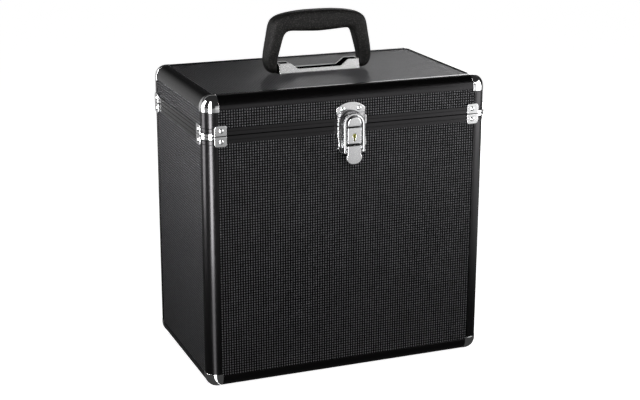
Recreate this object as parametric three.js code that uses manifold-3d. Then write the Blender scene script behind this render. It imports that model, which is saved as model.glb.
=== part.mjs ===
// Record carrying case: a flat box for long-playing records, with a hinged lid,
// aluminium edge profiles, ball corners, a lockable draw latch and a folding handle.
// Units are millimetres. +X is right, -Y is the front with the latch, +Z is up.

import * as THREE from "three";
import { mergeVertices } from "three/addons/utils/BufferGeometryUtils.js";
import Module from "manifold-3d";

const wasm = await Module();
wasm.setup();

// Overall case, over its edge profiles
const caseWidth = 355;
const caseDepth = 212;
const caseHeight = 352;
const lidHeight = 45.4;

// Clearances shared by the whole case
const seatGap = 0.3;
const overrun = 2;

// Panels, let into slots in the profiles
const panelThickness = 4;
const panelRecess = 1.3;
const panelEdgeInset = 10.8;

// Edge profile, measured inwards from the case's outer planes
const profileRadius = 14;
const profileLip = 2;
const profileInnerLip = 1.2;
const profileInnerReach = 13;
const arcSteps = 6;

// Ball corner
const cornerLap = 2;

// Rims that meet at the seam
const seamGap = 0.6;
const bodyRimHeight = 9.5;
const lidRimLip = 3.2;
const rimWeb = 3.2;
const tongueTopGap = 0.4;
const lidBridgeThickness = 1;
const tongueHeight = 4.5;
const tongueThickness = 1.6;
const tongueGap = 0.3;
const grooveDepth = 0.5;
const grooveHeight = 0.8;
const bodyGrooveDrop = 5;
const lidGrooveStep = 0.6;

// Linings
const liningThickness = 3;
const bodyLiningDrop = 1.6;

// Seam brackets that wrap the upright corners
const bracketThickness = 1.2;
const bracketLap = 2.5;
const bracketEarReach = 10;
const bracketEarHeight = 12;
const bracketStrapHeight = 5.4;
const bracketEdgeRadius = 2.4;
const bracketRivetReach = 3.4;
const rivetRadius = 2.9;
const rivetHeight = 1.1;
const rivetSides = 12;

// Hinges on the back
const hingeInset = 77.5;
const hingeWidth = 50;
const hingeLeafHeight = 26;
const hingeLeafThickness = 1.2;
const hingeLeafRadius = 3;
const hingeAxisGap = 0.8;
const hingeKnuckleRadius = 3.2;
const hingePinRadius = 1.5;
const hingePinGap = 0.25;
const hingePinProud = 0.8;
const hingeMiddleKnuckle = 20;
const hingeKnuckleGap = 0.4;
const hingeRelief = 0.5;
const hingeRivetRise = 18;
const hingeRivetSpread = 16;

// Latch keeper with its hook, on the lid
const keeperSideLap = 0.6;
const keeperTopGap = 2;
const keeperCrownRise = 7.4;
const keeperStepRise = 5.7;
const keeperThickness = 1.6;
const keeperFlange = 1.6;
const keeperFlangeReach = 5;
const keeperRivetX = 10.2;
const keeperRivetDown = 0.6;
const latchReach = 13;
const hookTop = 12.4;

// Latch base with the lock housing, on the body
const baseSideGap = 3.1;
const baseTaperDrop = 2;
const baseTaperHeight = 7;
const baseBottomHalf = 11.6;
const baseThickness = 1.2;
const baseWall = 1.5;
const baseWallReach = 5;
const baseWallStep = 14;
const baseEarRadius = 2.4;
const lockTop = 1;
const lockBottom = 21;
const lockHalfWidth = 9;
const lockWall = 1.2;
const keyholeRadius = 2.4;
const keyholeRise = 0.6;
const keyholeHalfSlot = 1.3;
const keyholeStem = 6.2;

// Lock cylinder behind the keyhole
const cylinderDrop = 11;
const cylinderSideGap = 1.6;
const cylinderDepth = 3.4;
const cylinderHubRadius = 3;
const camEndGap = 0.8;
const camHalfWidth = 1.5;
const camThickness = 1.5;
const keywayHalfWidth = 0.8;
const keywayTop = 1.2;
const keywayBottom = 5.2;
const keywayDepth = 5;

// Latch lever, its pin and the loop that it draws down
const leverPivotDepth = 0.7;
const leverTopGap = 1.3;
const leverPinRadius = 1;
const leverPinGap = 0.2;
const leverTopRise = 2.2;
const leverThickness = 1.5;
const leverSideStep = 0.75;
const leverFlare = 1.5;
const leverStraightBelow = 1.5;
const leverFlareHeight = 4.4;
const leverEndHeight = 8.4;
const leverCheek = 1.8;
const leverBossRadius = 2.2;
const loopPivotStep = 1;
const loopPivotBelow = 6;
const loopEarRadius = 2.4;
const loopPinRadius = 1.1;
const loopPinGap = 0.2;
const loopThickness = 2;
const loopPinClearance = 0.35;
const loopSideGap = 1.1;
const loopBar = 2.6;
const loopArchGap = 0.5;
const loopLean = 1.2;

// Handle bracket on the lid's top panel
const handleBracketHalf = 52;
const handleBracketDepth = 20;
const handleBracketSheet = 1.2;
const handleBracketFlange = 2.2;
const handleEarHeight = 12.8;
const handleEarLength = 14.5;
const handleRampLength = 9.5;
const handleMiddleHeight = 5.4;
const handleRivetX = 22;
const handleRivetRadius = 3;
const handleRivetHeight = 1.2;
const handlePinDown = 3.3;
const handlePinRadius = 2.4;
const handlePinGap = 0.3;
const handlePinReach = 9;

// Handle grip
const handleLegGap = 0.8;
const handleLegWidth = 16.4;
const handleTopRise = 75.4;
const handleDepth = 24;
const handleRound = 3.5;
const handleRoundDepth = 4.5;
const handleFootGap = 0.7;
const handleFootRun = 30;
const handleGripUnderside = 49.4;

// Outer outline of the grip from its top centre to its foot,
// as shares of the half width and of the top's height
const gripOuterShare = [
  [0, 1],
  [0.34, 0.992],
  [0.64, 0.955],
  [0.8, 0.9],
  [0.885, 0.8],
  [0.94, 0.55],
  [0.995, 0.28],
  [0.985, 0.15],
  [0.93, 0.05],
  [0.85, 0.012],
];

// Inner outline of the grip from its foot to the centre,
// as shares of the legs' inner half width and of the underside's height
const gripInnerShare = [
  [1, 0.06],
  [1, 0.3],
  [0.955, 0.55],
  [0.885, 0.83],
  [0.82, 0.975],
  [0.7, 1.035],
  [0.4, 1.02],
  [0, 1],
];
const gripCurveSteps = 14;

// Places worked out from the sizes above
const halfWidth = caseWidth / 2;
const halfDepth = caseDepth / 2;
const seam = caseHeight - lidHeight;
const halfSeam = seamGap / 2;
const profileFlange = profileRadius + profileLip;
const cornerReach = profileFlange + cornerLap;
const slotOuter = panelRecess - seatGap;
const slotInner = panelRecess + panelThickness + seatGap;
const slotEdge = panelEdgeInset - seatGap;
const innerFace = slotInner + profileInnerLip;
const liningInset = innerFace + seatGap;
const lidBridgeHeight = tongueHeight - halfSeam + tongueTopGap;
const lidGrooveRise = lidBridgeHeight + lidGrooveStep;
const lidRimHeight = lidGrooveRise + grooveHeight / 2 + lidRimLip;
const lidLiningRise = lidBridgeHeight + lidBridgeThickness + seatGap;
const bodyRimTop = seam - halfSeam;
const bodyRimBottom = seam - bodyRimHeight;
const lidRimBottom = seam + halfSeam;
const lidRimTop = seam + lidRimHeight;
const topPanelFace = caseHeight - panelRecess;
const bracketNear = profileRadius - bracketLap;
const bracketFar = profileFlange + bracketEarReach;
const bracketRivetInset = profileFlange + bracketRivetReach;
const hingeCentre = halfWidth - hingeInset;
const hingeAxisOut = hingeKnuckleRadius + hingeAxisGap;
const loopInnerHalf = lockHalfWidth + loopSideGap;
const baseHalfWidth = loopInnerHalf + loopBar + baseSideGap + baseWall;
const keeperHalfWidth = baseHalfWidth + keeperSideLap;
const keeperCrown = lidHeight - profileFlange - keeperTopGap;
const keeperShoulder = keeperCrown - keeperCrownRise;
const keeperCrease = lidRimHeight + keeperStepRise;
const keeperRivetZ = keeperShoulder - keeperRivetDown;
const leverPivotOut = latchReach - leverThickness - leverPivotDepth;
const leverPivotDrop = lockBottom + leverTopGap + leverTopRise;
const loopPivotOut = leverPivotOut - loopPivotStep;
const loopPivotDrop = leverPivotDrop + loopPivotBelow;
const leverHalfTop = lockHalfWidth - leverSideStep;
const leverHalfWide = leverHalfTop + leverFlare;
const leverStraightDrop = loopPivotDrop + leverStraightBelow;
const leverWideDrop = leverStraightDrop + leverFlareHeight;
const leverBottomDrop = leverWideDrop + leverEndHeight;
const baseTaperTop = leverPivotDrop + baseTaperDrop;
const baseBottom = baseTaperTop + baseTaperHeight;
const cylinderRadius = lockHalfWidth - lockWall - cylinderSideGap;
const camLength = lockHalfWidth - lockWall - camEndGap;
const keyholeDrop = cylinderDrop - keyholeRise;
const keyholeEnd = keyholeDrop + keyholeStem;
const loopBack = leverPivotOut + leverPinRadius + loopPinClearance;
const loopTilt = Math.atan2(loopLean, hookTop + leverPivotDrop);
const loopLegEnd = loopPivotDrop - loopEarRadius / 2;
const loopFoot = (loopLegEnd - leverPivotDrop) * Math.sin(loopTilt);
const latchProtrusion = loopBack + loopThickness * Math.cos(loopTilt) + loopFoot;
const hingeProtrusion = hingeAxisOut + hingeKnuckleRadius;
const leverPinY = -halfDepth - leverPivotOut;
const leverPinZ = seam - leverPivotDrop;
const loopPinY = -halfDepth - loopPivotOut;
const loopPinZ = seam - loopPivotDrop;
const handlePivotRise = handleEarHeight - handlePinDown;
const handlePivotZ = topPanelFace + handlePivotRise;
const handleFootRadius = handlePivotRise - handleFootGap;
const handleLegInner = handleBracketHalf + handleLegGap;
const handleHalfWidth = handleLegInner + handleLegWidth;
const handleEarInner = handleBracketHalf - handleEarLength;
const handleMiddleHalf = handleEarInner - handleRampLength;

// Materials: colour, roughness and metalness
const panelMaterial = () => material(0x17171a, 0.55, 0);
const profileMaterial = () => material(0x1b1b1d, 0.38, 0.7);
const chromeMaterial = () => material(0xc9cacc, 0.18, 1);
const brassMaterial = () => material(0xb59a4a, 0.3, 1);
const steelMaterial = () => material(0x8f9296, 0.35, 1);
const gripMaterial = () => material(0x141414, 0.6, 0);
const liningMaterial = () => material(0x2a2a2c, 0.95, 0);

function material(color, roughness, metalness) {
  return new THREE.MeshStandardMaterial({ color, roughness, metalness });
}

// A closed geometry as a solid that can be joined and cut
function solid(geometry) {
  const bare = geometry.index ? geometry.toNonIndexed() : geometry.clone();
  bare.deleteAttribute("normal");
  bare.deleteAttribute("uv");
  const merged = mergeVertices(bare, seatGap / 1000);
  const index = merged.index.array;
  const kept = [];
  for (let i = 0; i < index.length; i += 3) {
    const [a, b, c] = [index[i], index[i + 1], index[i + 2]];
    if (a !== b && b !== c && c !== a) kept.push(a, b, c);
  }
  const vertProperties = new Float32Array(merged.attributes.position.array);
  const triVerts = new Uint32Array(kept);
  return new wasm.Manifold(new wasm.Mesh({ numProp: 3, vertProperties, triVerts }));
}

// A solid as a geometry
function geometryOf(body) {
  const mesh = body.getMesh();
  const geometry = new THREE.BufferGeometry();
  geometry.setAttribute("position", new THREE.BufferAttribute(mesh.vertProperties, 3));
  geometry.setIndex(new THREE.BufferAttribute(mesh.triVerts, 1));
  geometry.computeVertexNormals();
  return geometry;
}

function joined(...bodies) {
  return bodies.reduce((whole, body) => whole.add(body));
}

// Puts a geometry's own x, y and z along three directions, and keeps its faces outwards
function placed(geometry, origin, xDir, yDir, zDir) {
  const bare = geometry.index ? geometry.toNonIndexed() : geometry.clone();
  const matrix = new THREE.Matrix4().makeBasis(xDir, yDir, zDir).setPosition(origin);
  bare.applyMatrix4(matrix);
  if (matrix.determinant() > 0) return bare;
  const place = bare.attributes.position;
  for (let i = 0; i < place.count; i += 3) {
    const swap = [place.getX(i), place.getY(i), place.getZ(i)];
    place.setXYZ(i, place.getX(i + 2), place.getY(i + 2), place.getZ(i + 2));
    place.setXYZ(i + 2, ...swap);
  }
  return bare;
}

function vector(x, y, z) {
  return new THREE.Vector3(x, y, z);
}

const right = vector(1, 0, 0);
const back = vector(0, 1, 0);
const up = vector(0, 0, 1);
const front = vector(0, -1, 0);
const left = vector(-1, 0, 0);
const down = vector(0, 0, -1);

function box(low, high) {
  const size = [high[0] - low[0], high[1] - low[1], high[2] - low[2]];
  const geometry = new THREE.BoxGeometry(...size);
  geometry.translate((low[0] + high[0]) / 2, (low[1] + high[1]) / 2, (low[2] + high[2]) / 2);
  return solid(geometry);
}

function arc(centreX, centreY, radius, from, to, steps = arcSteps) {
  const points = [];
  for (let i = 0; i <= steps; i++) {
    const angle = from + ((to - from) * i) / steps;
    points.push([centreX + radius * Math.cos(angle), centreY + radius * Math.sin(angle)]);
  }
  return points;
}

function outline(points) {
  return new THREE.Shape(points.map(([x, y]) => new THREE.Vector2(x, y)));
}

function roundedPoints(x0, x1, y0, y1, radius, steps = arcSteps) {
  const quarter = Math.PI / 2;
  return [
    ...arc(x1 - radius, y0 + radius, radius, -quarter, 0, steps),
    ...arc(x1 - radius, y1 - radius, radius, 0, quarter, steps),
    ...arc(x0 + radius, y1 - radius, radius, quarter, 2 * quarter, steps),
    ...arc(x0 + radius, y0 + radius, radius, 2 * quarter, 3 * quarter, steps),
  ];
}

function extruded(shape, depth) {
  return new THREE.ExtrudeGeometry(shape, { depth, bevelEnabled: false, steps: 1 });
}

// A plate whose outline is drawn in x and z, between two distances out from the front plane
function frontPlate(points, outLow, outHigh) {
  const origin = vector(0, -halfDepth - outLow, seam);
  return solid(placed(extruded(outline(points), outHigh - outLow), origin, right, up, front));
}

// A bar whose outline is drawn in distance out from the front plane and z, between two places in x
function frontBar(points, xLow, xHigh) {
  const origin = vector(xLow, -halfDepth, seam);
  return solid(placed(extruded(outline(points), xHigh - xLow), origin, front, up, right));
}

// A round bar along x, y or z between two places
function roundBar(axis, low, high, a, b, radius, sides) {
  const geometry = new THREE.CylinderGeometry(radius, radius, high - low, sides);
  const middle = (low + high) / 2;
  if (axis === "x") return solid(placed(geometry, vector(middle, a, b), back, right, up));
  if (axis === "y") return solid(placed(geometry, vector(a, middle, b), up, back, right));
  return solid(placed(geometry, vector(a, b, middle), right, up, front));
}

// A low domed rivet head on a face, sunk a little into what it fastens
function rivetHead(origin, outDir, acrossDir, radius, height, sink) {
  const alongDir = outDir.clone().cross(acrossDir);
  const crownShare = 0.62;
  const shoulderShare = 0.55;
  const profile = [
    new THREE.Vector2(0, -sink),
    new THREE.Vector2(radius, -sink),
    new THREE.Vector2(radius, height * shoulderShare),
    new THREE.Vector2(radius * crownShare, height),
    new THREE.Vector2(0, height),
  ];
  const geometry = new THREE.LatheGeometry(profile, rivetSides);
  return solid(placed(geometry, origin, acrossDir, outDir, alongDir));
}

// Edge profile section, measured inwards from the two outer planes that it joins
function profileSection() {
  const quarter = Math.PI / 2;
  return outline([
    [profileFlange, 0],
    [profileFlange, slotOuter],
    [slotEdge, slotOuter],
    [slotEdge, slotInner],
    [profileInnerReach, slotInner],
    [profileInnerReach, innerFace],
    [innerFace, innerFace],
    [innerFace, profileInnerReach],
    [slotInner, profileInnerReach],
    [slotInner, slotEdge],
    [slotOuter, slotEdge],
    [slotOuter, profileFlange],
    [0, profileFlange],
    ...arc(profileRadius, profileRadius, profileRadius, 2 * quarter, 3 * quarter),
  ]);
}

function edgeProfile(origin, inwardA, inwardB, along, length) {
  return solid(placed(extruded(profileSection(), length), origin, inwardA, inwardB, along));
}

// Ball corner in its own corner frame, where all three outer planes are at zero
function ballCorner() {
  const r = profileRadius;
  const c = cornerReach;
  const sides = 4 * arcSteps;
  const ball = new THREE.SphereGeometry(r, sides, sides / 2);
  ball.translate(r, r, r);
  const rounded = joined(
    solid(ball),
    roundBar("x", r, c, r, r, r, sides),
    roundBar("y", r, c, r, r, r, sides),
    roundBar("z", r, c, r, r, r, sides),
    box([0, r, r], [c, c, c]),
    box([r, 0, r], [c, c, c]),
    box([r, r, 0], [c, c, c]),
  );
  let corner = rounded.intersect(box([0, 0, 0], [c, c, c]));
  const past = c + overrun;
  corner = corner.subtract(box([innerFace, innerFace, innerFace], [past, past, past]));
  // Slots for the three panels: depth from the outer plane, and how far in each layer starts
  const layers = [
    [-overrun, slotOuter, profileFlange],
    [slotOuter, slotInner, slotEdge],
    [slotInner, innerFace + overrun, profileInnerReach],
  ];
  for (let axis = 0; axis < 3; axis++) {
    for (const [near, far, start] of layers) {
      const low = [start, start, start];
      const high = [past, past, past];
      low[axis] = near;
      high[axis] = far;
      corner = corner.subtract(box(low, high));
    }
  }
  return corner;
}

// A closed ring that runs round the case at constant insets from its outer planes
function ring(insetOut, insetIn, zLow, zHigh) {
  const rounded = (inset) => {
    const x = halfWidth - inset;
    const y = halfDepth - inset;
    return roundedPoints(-x, x, -y, y, profileRadius - inset);
  };
  const shape = outline(rounded(insetOut));
  shape.holes.push(new THREE.Path(rounded(insetIn).reverse().map(([x, y]) => new THREE.Vector2(x, y))));
  return solid(placed(extruded(shape, zHigh - zLow), vector(0, 0, zLow), right, back, up));
}

// Cuts the panel slots, which run along the four straight sides of a rim
function cutPanelSlots(rim, zLow, zHigh) {
  const x = halfWidth - slotEdge;
  const y = halfDepth - slotEdge;
  let cut = rim;
  for (const side of [-1, 1]) {
    const yNear = side * (halfDepth - slotOuter);
    const yFar = side * (halfDepth - slotInner);
    cut = cut.subtract(box([-x, Math.min(yNear, yFar), zLow], [x, Math.max(yNear, yFar), zHigh]));
    const xNear = side * (halfWidth - slotOuter);
    const xFar = side * (halfWidth - slotInner);
    cut = cut.subtract(box([Math.min(xNear, xFar), -y, zLow], [Math.max(xNear, xFar), y, zHigh]));
  }
  return cut;
}

function bodyRimFrame() {
  const grooveTop = seam - bodyGrooveDrop + grooveHeight / 2;
  const grooveBottom = grooveTop - grooveHeight;
  const upper = ring(0, innerFace, grooveTop, bodyRimTop);
  const groove = ring(grooveDepth, innerFace, grooveBottom, grooveTop);
  const lower = ring(0, innerFace, bodyRimBottom, grooveBottom);
  const frame = cutPanelSlots(joined(upper, groove, lower), bodyRimBottom - overrun, bodyRimTop - rimWeb);
  const tongueOuter = innerFace - seatGap - tongueThickness;
  const tongue = ring(tongueOuter, tongueOuter + tongueThickness, bodyRimTop, bodyRimTop + tongueHeight);
  return frame.add(tongue);
}

function lidRimFrame() {
  const grooveBottom = seam + lidGrooveRise - grooveHeight / 2;
  const grooveTop = grooveBottom + grooveHeight;
  const tongueOuter = innerFace - seatGap - tongueThickness;
  const bridge = seam + lidBridgeHeight;
  const skirt = ring(0, tongueOuter - tongueGap, lidRimBottom, bridge);
  const lower = ring(0, innerFace, bridge, grooveBottom);
  const groove = ring(grooveDepth, innerFace, grooveBottom, grooveTop);
  const upper = ring(0, innerFace, grooveTop, lidRimTop);
  const frame = joined(skirt, lower, groove, upper);
  return cutPanelSlots(frame, bridge + lidBridgeThickness, lidRimTop + overrun);
}

// A tray-shaped lining: a rounded block with a rounded hollow that is open on one side
function lining(zLow, zHigh, hollowLow, hollowHigh) {
  const block = (inset, low, high) => {
    const radius = profileRadius - inset;
    const x = halfWidth - inset;
    const y = halfDepth - inset;
    const shape = outline(roundedPoints(-x, x, -y, y, radius));
    return solid(placed(extruded(shape, high - low), vector(0, 0, low), right, back, up));
  };
  const hollow = block(liningInset + liningThickness, hollowLow, hollowHigh);
  return block(liningInset, zLow, zHigh).subtract(hollow);
}

// Seam bracket in its corner frame: x and y run inwards from the two side planes, z runs away from the seam
function seamBracket() {
  const outer = -seatGap - bracketThickness;
  const inner = -seatGap;
  const quarter = Math.PI / 2;
  const strapEnd = profileRadius + overrun;
  const strap = [
    ...arc(profileRadius, profileRadius, profileRadius - outer, 2 * quarter, 3 * quarter),
    [strapEnd, outer],
    [strapEnd, inner],
    ...arc(profileRadius, profileRadius, profileRadius - inner, 3 * quarter, 2 * quarter),
    [inner, strapEnd],
    [outer, strapEnd],
  ];
  const band = solid(extruded(outline(strap), bracketStrapHeight - halfSeam));
  const earPoints = roundedPoints(bracketNear, bracketFar, 0, bracketEarHeight, bracketEdgeRadius, 3);
  const ear = extruded(outline(earPoints), bracketThickness);
  const onA = solid(placed(ear, vector(0, outer, 0), right, up, back));
  const onB = solid(placed(ear, vector(outer, 0, 0), back, up, right));
  const rivetZ = bracketEarHeight / 2;
  const placeA = vector(bracketRivetInset, outer, rivetZ);
  const placeB = vector(outer, bracketRivetInset, rivetZ);
  const sink = bracketThickness / 2;
  const rivetA = rivetHead(placeA, front, up, rivetRadius, rivetHeight, sink);
  const rivetB = rivetHead(placeB, left, up, rivetRadius, rivetHeight, sink);
  return joined(band, onA, onB, rivetA, rivetB);
}

// Hinge leaf in its own frame: x along the hinge, y out from the back plane, z away from the seam
function hingeLeaf(ownKnuckles, otherKnuckles) {
  const half = hingeWidth / 2;
  const round = hingeLeafRadius;
  const inner = seatGap;
  const outer = seatGap + hingeLeafThickness;
  const points = [
    [-half, halfSeam],
    [half, halfSeam],
    ...arc(half - round, hingeLeafHeight - round, round, 0, Math.PI / 2, 3),
    ...arc(round - half, hingeLeafHeight - round, round, Math.PI / 2, Math.PI, 3),
  ];
  let leaf = solid(placed(extruded(outline(points), outer - inner), vector(0, inner, 0), right, up, back));
  for (const [low, high] of otherKnuckles) {
    const relief = hingeKnuckleRadius + hingeRelief;
    const reach = hingeKnuckleGap;
    leaf = leaf.subtract(roundBar("x", low - reach, high + reach, hingeAxisOut, 0, relief, 2 * rivetSides));
  }
  for (const [low, high] of ownKnuckles) {
    leaf = leaf.add(roundBar("x", low, high, hingeAxisOut, 0, hingeKnuckleRadius, 2 * rivetSides));
  }
  const bore = hingePinRadius + hingePinGap;
  leaf = leaf.subtract(roundBar("x", -half - overrun, half + overrun, hingeAxisOut, 0, bore, rivetSides));
  for (const x of [-hingeRivetSpread, 0, hingeRivetSpread]) {
    const place = vector(x, outer, hingeRivetRise);
    leaf = leaf.add(rivetHead(place, back, up, rivetRadius, rivetHeight, hingeLeafThickness / 2));
  }
  return leaf;
}

function hingeKnuckles() {
  const half = hingeWidth / 2;
  const middle = hingeMiddleKnuckle / 2;
  const ends = [
    [-half, -middle - hingeKnuckleGap],
    [middle + hingeKnuckleGap, half],
  ];
  return { ends, middle: [[-middle, middle]] };
}

// Keeper: a crowned plate on the lid panel that steps out over the rim and carries the hook
function latchKeeper() {
  const w = keeperHalfWidth;
  const rise = keeperCrown - keeperShoulder;
  const crownRadius = (w * w + rise * rise) / (2 * rise);
  const spread = Math.asin(w / crownRadius);
  const middle = Math.PI / 2;
  const crownCentre = keeperCrown - crownRadius;
  const crown = arc(0, crownCentre, crownRadius, middle - spread, middle + spread, 2 * arcSteps);
  const plateLow = lidRimHeight + seatGap;
  const plateBack = seatGap - panelRecess;
  const plateFront = plateBack + keeperThickness + seatGap;
  const upper = frontPlate([[-w, plateLow], [w, plateLow], ...crown], plateBack, plateFront);
  const stepFront = seatGap + keeperThickness;
  const lowerPoints = [[-w, halfSeam], [w, halfSeam], [w, keeperCrease], [-w, keeperCrease]];
  const lower = frontPlate(lowerPoints, seatGap, stepFront);
  const flangeLeft = frontPlate(
    [[-w, halfSeam], [keeperFlange - w, halfSeam], [keeperFlange - w, keeperCrease], [-w, keeperCrease]],
    seatGap,
    keeperFlangeReach,
  );
  const flangeRight = frontPlate(
    [[w - keeperFlange, halfSeam], [w, halfSeam], [w, keeperCrease], [w - keeperFlange, keeperCrease]],
    seatGap,
    keeperFlangeReach,
  );
  const h = lockHalfWidth;
  const hookPoints = [[-h, halfSeam], [h, halfSeam], ...arc(0, hookTop - h, h, 0, Math.PI, 2 * arcSteps)];
  const hook = frontPlate(hookPoints, seatGap, latchReach);
  const heads = [-keeperRivetX, keeperRivetX].map((x) => {
    const place = vector(x, -halfDepth - plateFront, seam + keeperRivetZ);
    return rivetHead(place, front, right, rivetRadius, rivetHeight, keeperThickness / 2);
  });
  return joined(upper, lower, flangeLeft, flangeRight, hook, ...heads);
}

// Base plate with its two side walls, the ears for the lever's pin and the hollow lock housing
function latchBase() {
  const w = baseHalfWidth;
  const platePoints = [
    [-w, -baseTaperTop],
    [-baseBottomHalf, -baseBottom],
    [baseBottomHalf, -baseBottom],
    [w, -baseTaperTop],
    [w, -halfSeam],
    [-w, -halfSeam],
  ];
  const plateFront = seatGap + baseThickness;
  const plate = frontPlate(platePoints, seatGap, plateFront);
  const seatTop = -bodyRimHeight - seatGap;
  const seatPoints = [
    [-w, -baseTaperTop],
    [-baseBottomHalf, -baseBottom],
    [baseBottomHalf, -baseBottom],
    [w, -baseTaperTop],
    [w, seatTop],
    [-w, seatTop],
  ];
  const seat = frontPlate(seatPoints, seatGap - panelRecess, plateFront);
  const wallPoints = [
    [seatGap, -halfSeam],
    [seatGap, -baseTaperTop],
    ...arc(leverPivotOut, -leverPivotDrop, baseEarRadius, -Math.PI / 2, Math.PI / 2),
    [baseWallReach, -baseWallStep],
    [baseWallReach, -halfSeam],
  ].reverse();
  const walls = [frontBar(wallPoints, -w, baseWall - w), frontBar(wallPoints, w - baseWall, w)];
  const lockPoints = [
    [-lockHalfWidth, -lockBottom],
    [lockHalfWidth, -lockBottom],
    [lockHalfWidth, -lockTop],
    [-lockHalfWidth, -lockTop],
  ];
  const housing = frontPlate(lockPoints, seatGap, latchReach);
  const inner = lockHalfWidth - lockWall;
  const hollowPoints = [
    [-inner, lockWall - lockBottom],
    [inner, lockWall - lockBottom],
    [inner, -lockTop - lockWall],
    [-inner, -lockTop - lockWall],
  ];
  const hollow = frontPlate(hollowPoints, plateFront, latchReach - lockWall);
  const slotAngle = Math.asin(keyholeHalfSlot / keyholeRadius);
  const slotStart = slotAngle - Math.PI / 2;
  const slotEnd = 2 * Math.PI - slotAngle - Math.PI / 2;
  const keyholePoints = [
    ...arc(0, -keyholeDrop, keyholeRadius, slotStart, slotEnd, 2 * arcSteps),
    [-keyholeHalfSlot, -keyholeEnd],
    [keyholeHalfSlot, -keyholeEnd],
  ];
  const keyhole = frontPlate(keyholePoints, plateFront, latchReach + overrun);
  const whole = joined(plate, seat, ...walls, housing).subtract(hollow).subtract(keyhole);
  const bore = leverPinRadius + leverPinGap;
  const past = w + overrun;
  return whole.subtract(roundBar("x", -past, past, leverPinY, leverPinZ, bore, rivetSides));
}

function latchLeverPin() {
  const half = baseHalfWidth;
  return roundBar("x", -half, half, leverPinY, leverPinZ, leverPinRadius, rivetSides);
}

// Lock cylinder: a disc behind the keyhole, a hub and the cam that works the bolt
function lockCylinder() {
  const z = seam - cylinderDrop;
  const faceOut = latchReach - lockWall - seatGap;
  const faceY = -halfDepth - faceOut;
  const backY = -halfDepth - seatGap - baseThickness - seatGap;
  const disc = roundBar("y", faceY, faceY + cylinderDepth, 0, z, cylinderRadius, 2 * rivetSides);
  const hub = roundBar("y", faceY, backY, 0, z, cylinderHubRadius, rivetSides);
  const camY = backY - camThickness;
  const cam = box([0, camY, z - camHalfWidth], [camLength, camY + camThickness, z + camHalfWidth]);
  const keyway = box(
    [-keywayHalfWidth, faceY - overrun, z - keywayBottom],
    [keywayHalfWidth, faceY + keywayDepth, z + keywayTop],
  );
  return joined(disc, hub, cam).subtract(keyway);
}

// Lever: the tongue that is pulled, with two cheeks for the fixed pin and the loop's pins
function latchLever() {
  const halfRound = Math.PI;
  const endRise = leverBottomDrop - leverWideDrop;
  const end = arc(0, 0, 1, halfRound, 2 * halfRound, 2 * arcSteps).map(([c, s]) => [
    leverHalfWide * c,
    endRise * s - leverWideDrop,
  ]);
  const top = leverTopRise - leverPivotDrop;
  const platePoints = [
    ...end,
    [leverHalfTop, -leverStraightDrop],
    [leverHalfTop, top],
    [-leverHalfTop, top],
    [-leverHalfTop, -leverStraightDrop],
  ];
  const plateBack = latchReach - leverThickness;
  const plate = frontPlate(platePoints, plateBack, latchReach);
  const cheekTop = leverBossRadius - leverPivotDrop;
  const cheekPoints = [
    [latchReach - leverThickness / 2, cheekTop],
    ...arc(leverPivotOut, -leverPivotDrop, leverBossRadius, Math.PI / 2, Math.PI),
    ...arc(loopPivotOut, -loopPivotDrop, loopEarRadius, Math.PI, (3 * Math.PI) / 2),
    [latchReach - leverThickness / 2, -loopPivotDrop - loopEarRadius],
  ];
  const edge = leverHalfTop;
  const cheekLeft = frontBar(cheekPoints, -edge, leverCheek - edge);
  const cheekRight = frontBar(cheekPoints, edge - leverCheek, edge);
  const past = edge + overrun;
  const pinBore = leverPinRadius + leverPinGap;
  const loopBore = loopPinRadius + loopPinGap;
  const bores = [
    roundBar("x", -past, past, leverPinY, leverPinZ, pinBore, rivetSides),
    roundBar("x", -past, past, loopPinY, loopPinZ, loopBore, rivetSides),
  ];
  return bores.reduce((whole, bore) => whole.subtract(bore), joined(plate, cheekLeft, cheekRight));
}

// Loop: an arch on two legs that leans in to the hook, with ears and short pins in the lever's cheeks
function latchLoop() {
  const outer = loopInnerHalf + loopBar;
  const archCentre = hookTop + loopArchGap - loopInnerHalf;
  const legEnd = -loopLegEnd;
  const bow = [
    [outer, legEnd],
    ...arc(0, archCentre, outer, 0, Math.PI, 2 * arcSteps),
    [-outer, legEnd],
    [-loopInnerHalf, legEnd],
    ...arc(0, archCentre, loopInnerHalf, Math.PI, 0, 2 * arcSteps),
    [loopInnerHalf, legEnd],
  ];
  const hinge = vector(0, -halfDepth - loopBack, leverPinZ);
  const start = vector(0, -halfDepth - loopBack, seam);
  const bar = placed(extruded(outline(bow), loopThickness), start, right, up, front);
  bar.translate(-hinge.x, -hinge.y, -hinge.z);
  bar.rotateX(-loopTilt);
  bar.translate(hinge.x, hinge.y, hinge.z);
  const earFront = loopBack + loopThickness;
  const earPoints = [
    [earFront, legEnd + loopEarRadius],
    [loopBack, legEnd + loopEarRadius],
    ...arc(loopPivotOut, -loopPivotDrop, loopEarRadius, Math.PI / 2, (3 * Math.PI) / 2),
    [earFront, legEnd - loopEarRadius / 2],
  ];
  const ears = [
    frontBar(earPoints, -outer, -loopInnerHalf),
    frontBar(earPoints, loopInnerHalf, outer),
  ];
  const pinEnd = leverHalfTop - leverCheek;
  const pins = [
    roundBar("x", -outer, -pinEnd, loopPinY, loopPinZ, loopPinRadius, rivetSides),
    roundBar("x", pinEnd, outer, loopPinY, loopPinZ, loopPinRadius, rivetSides),
  ];
  return joined(solid(bar), ...ears, ...pins);
}

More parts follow.
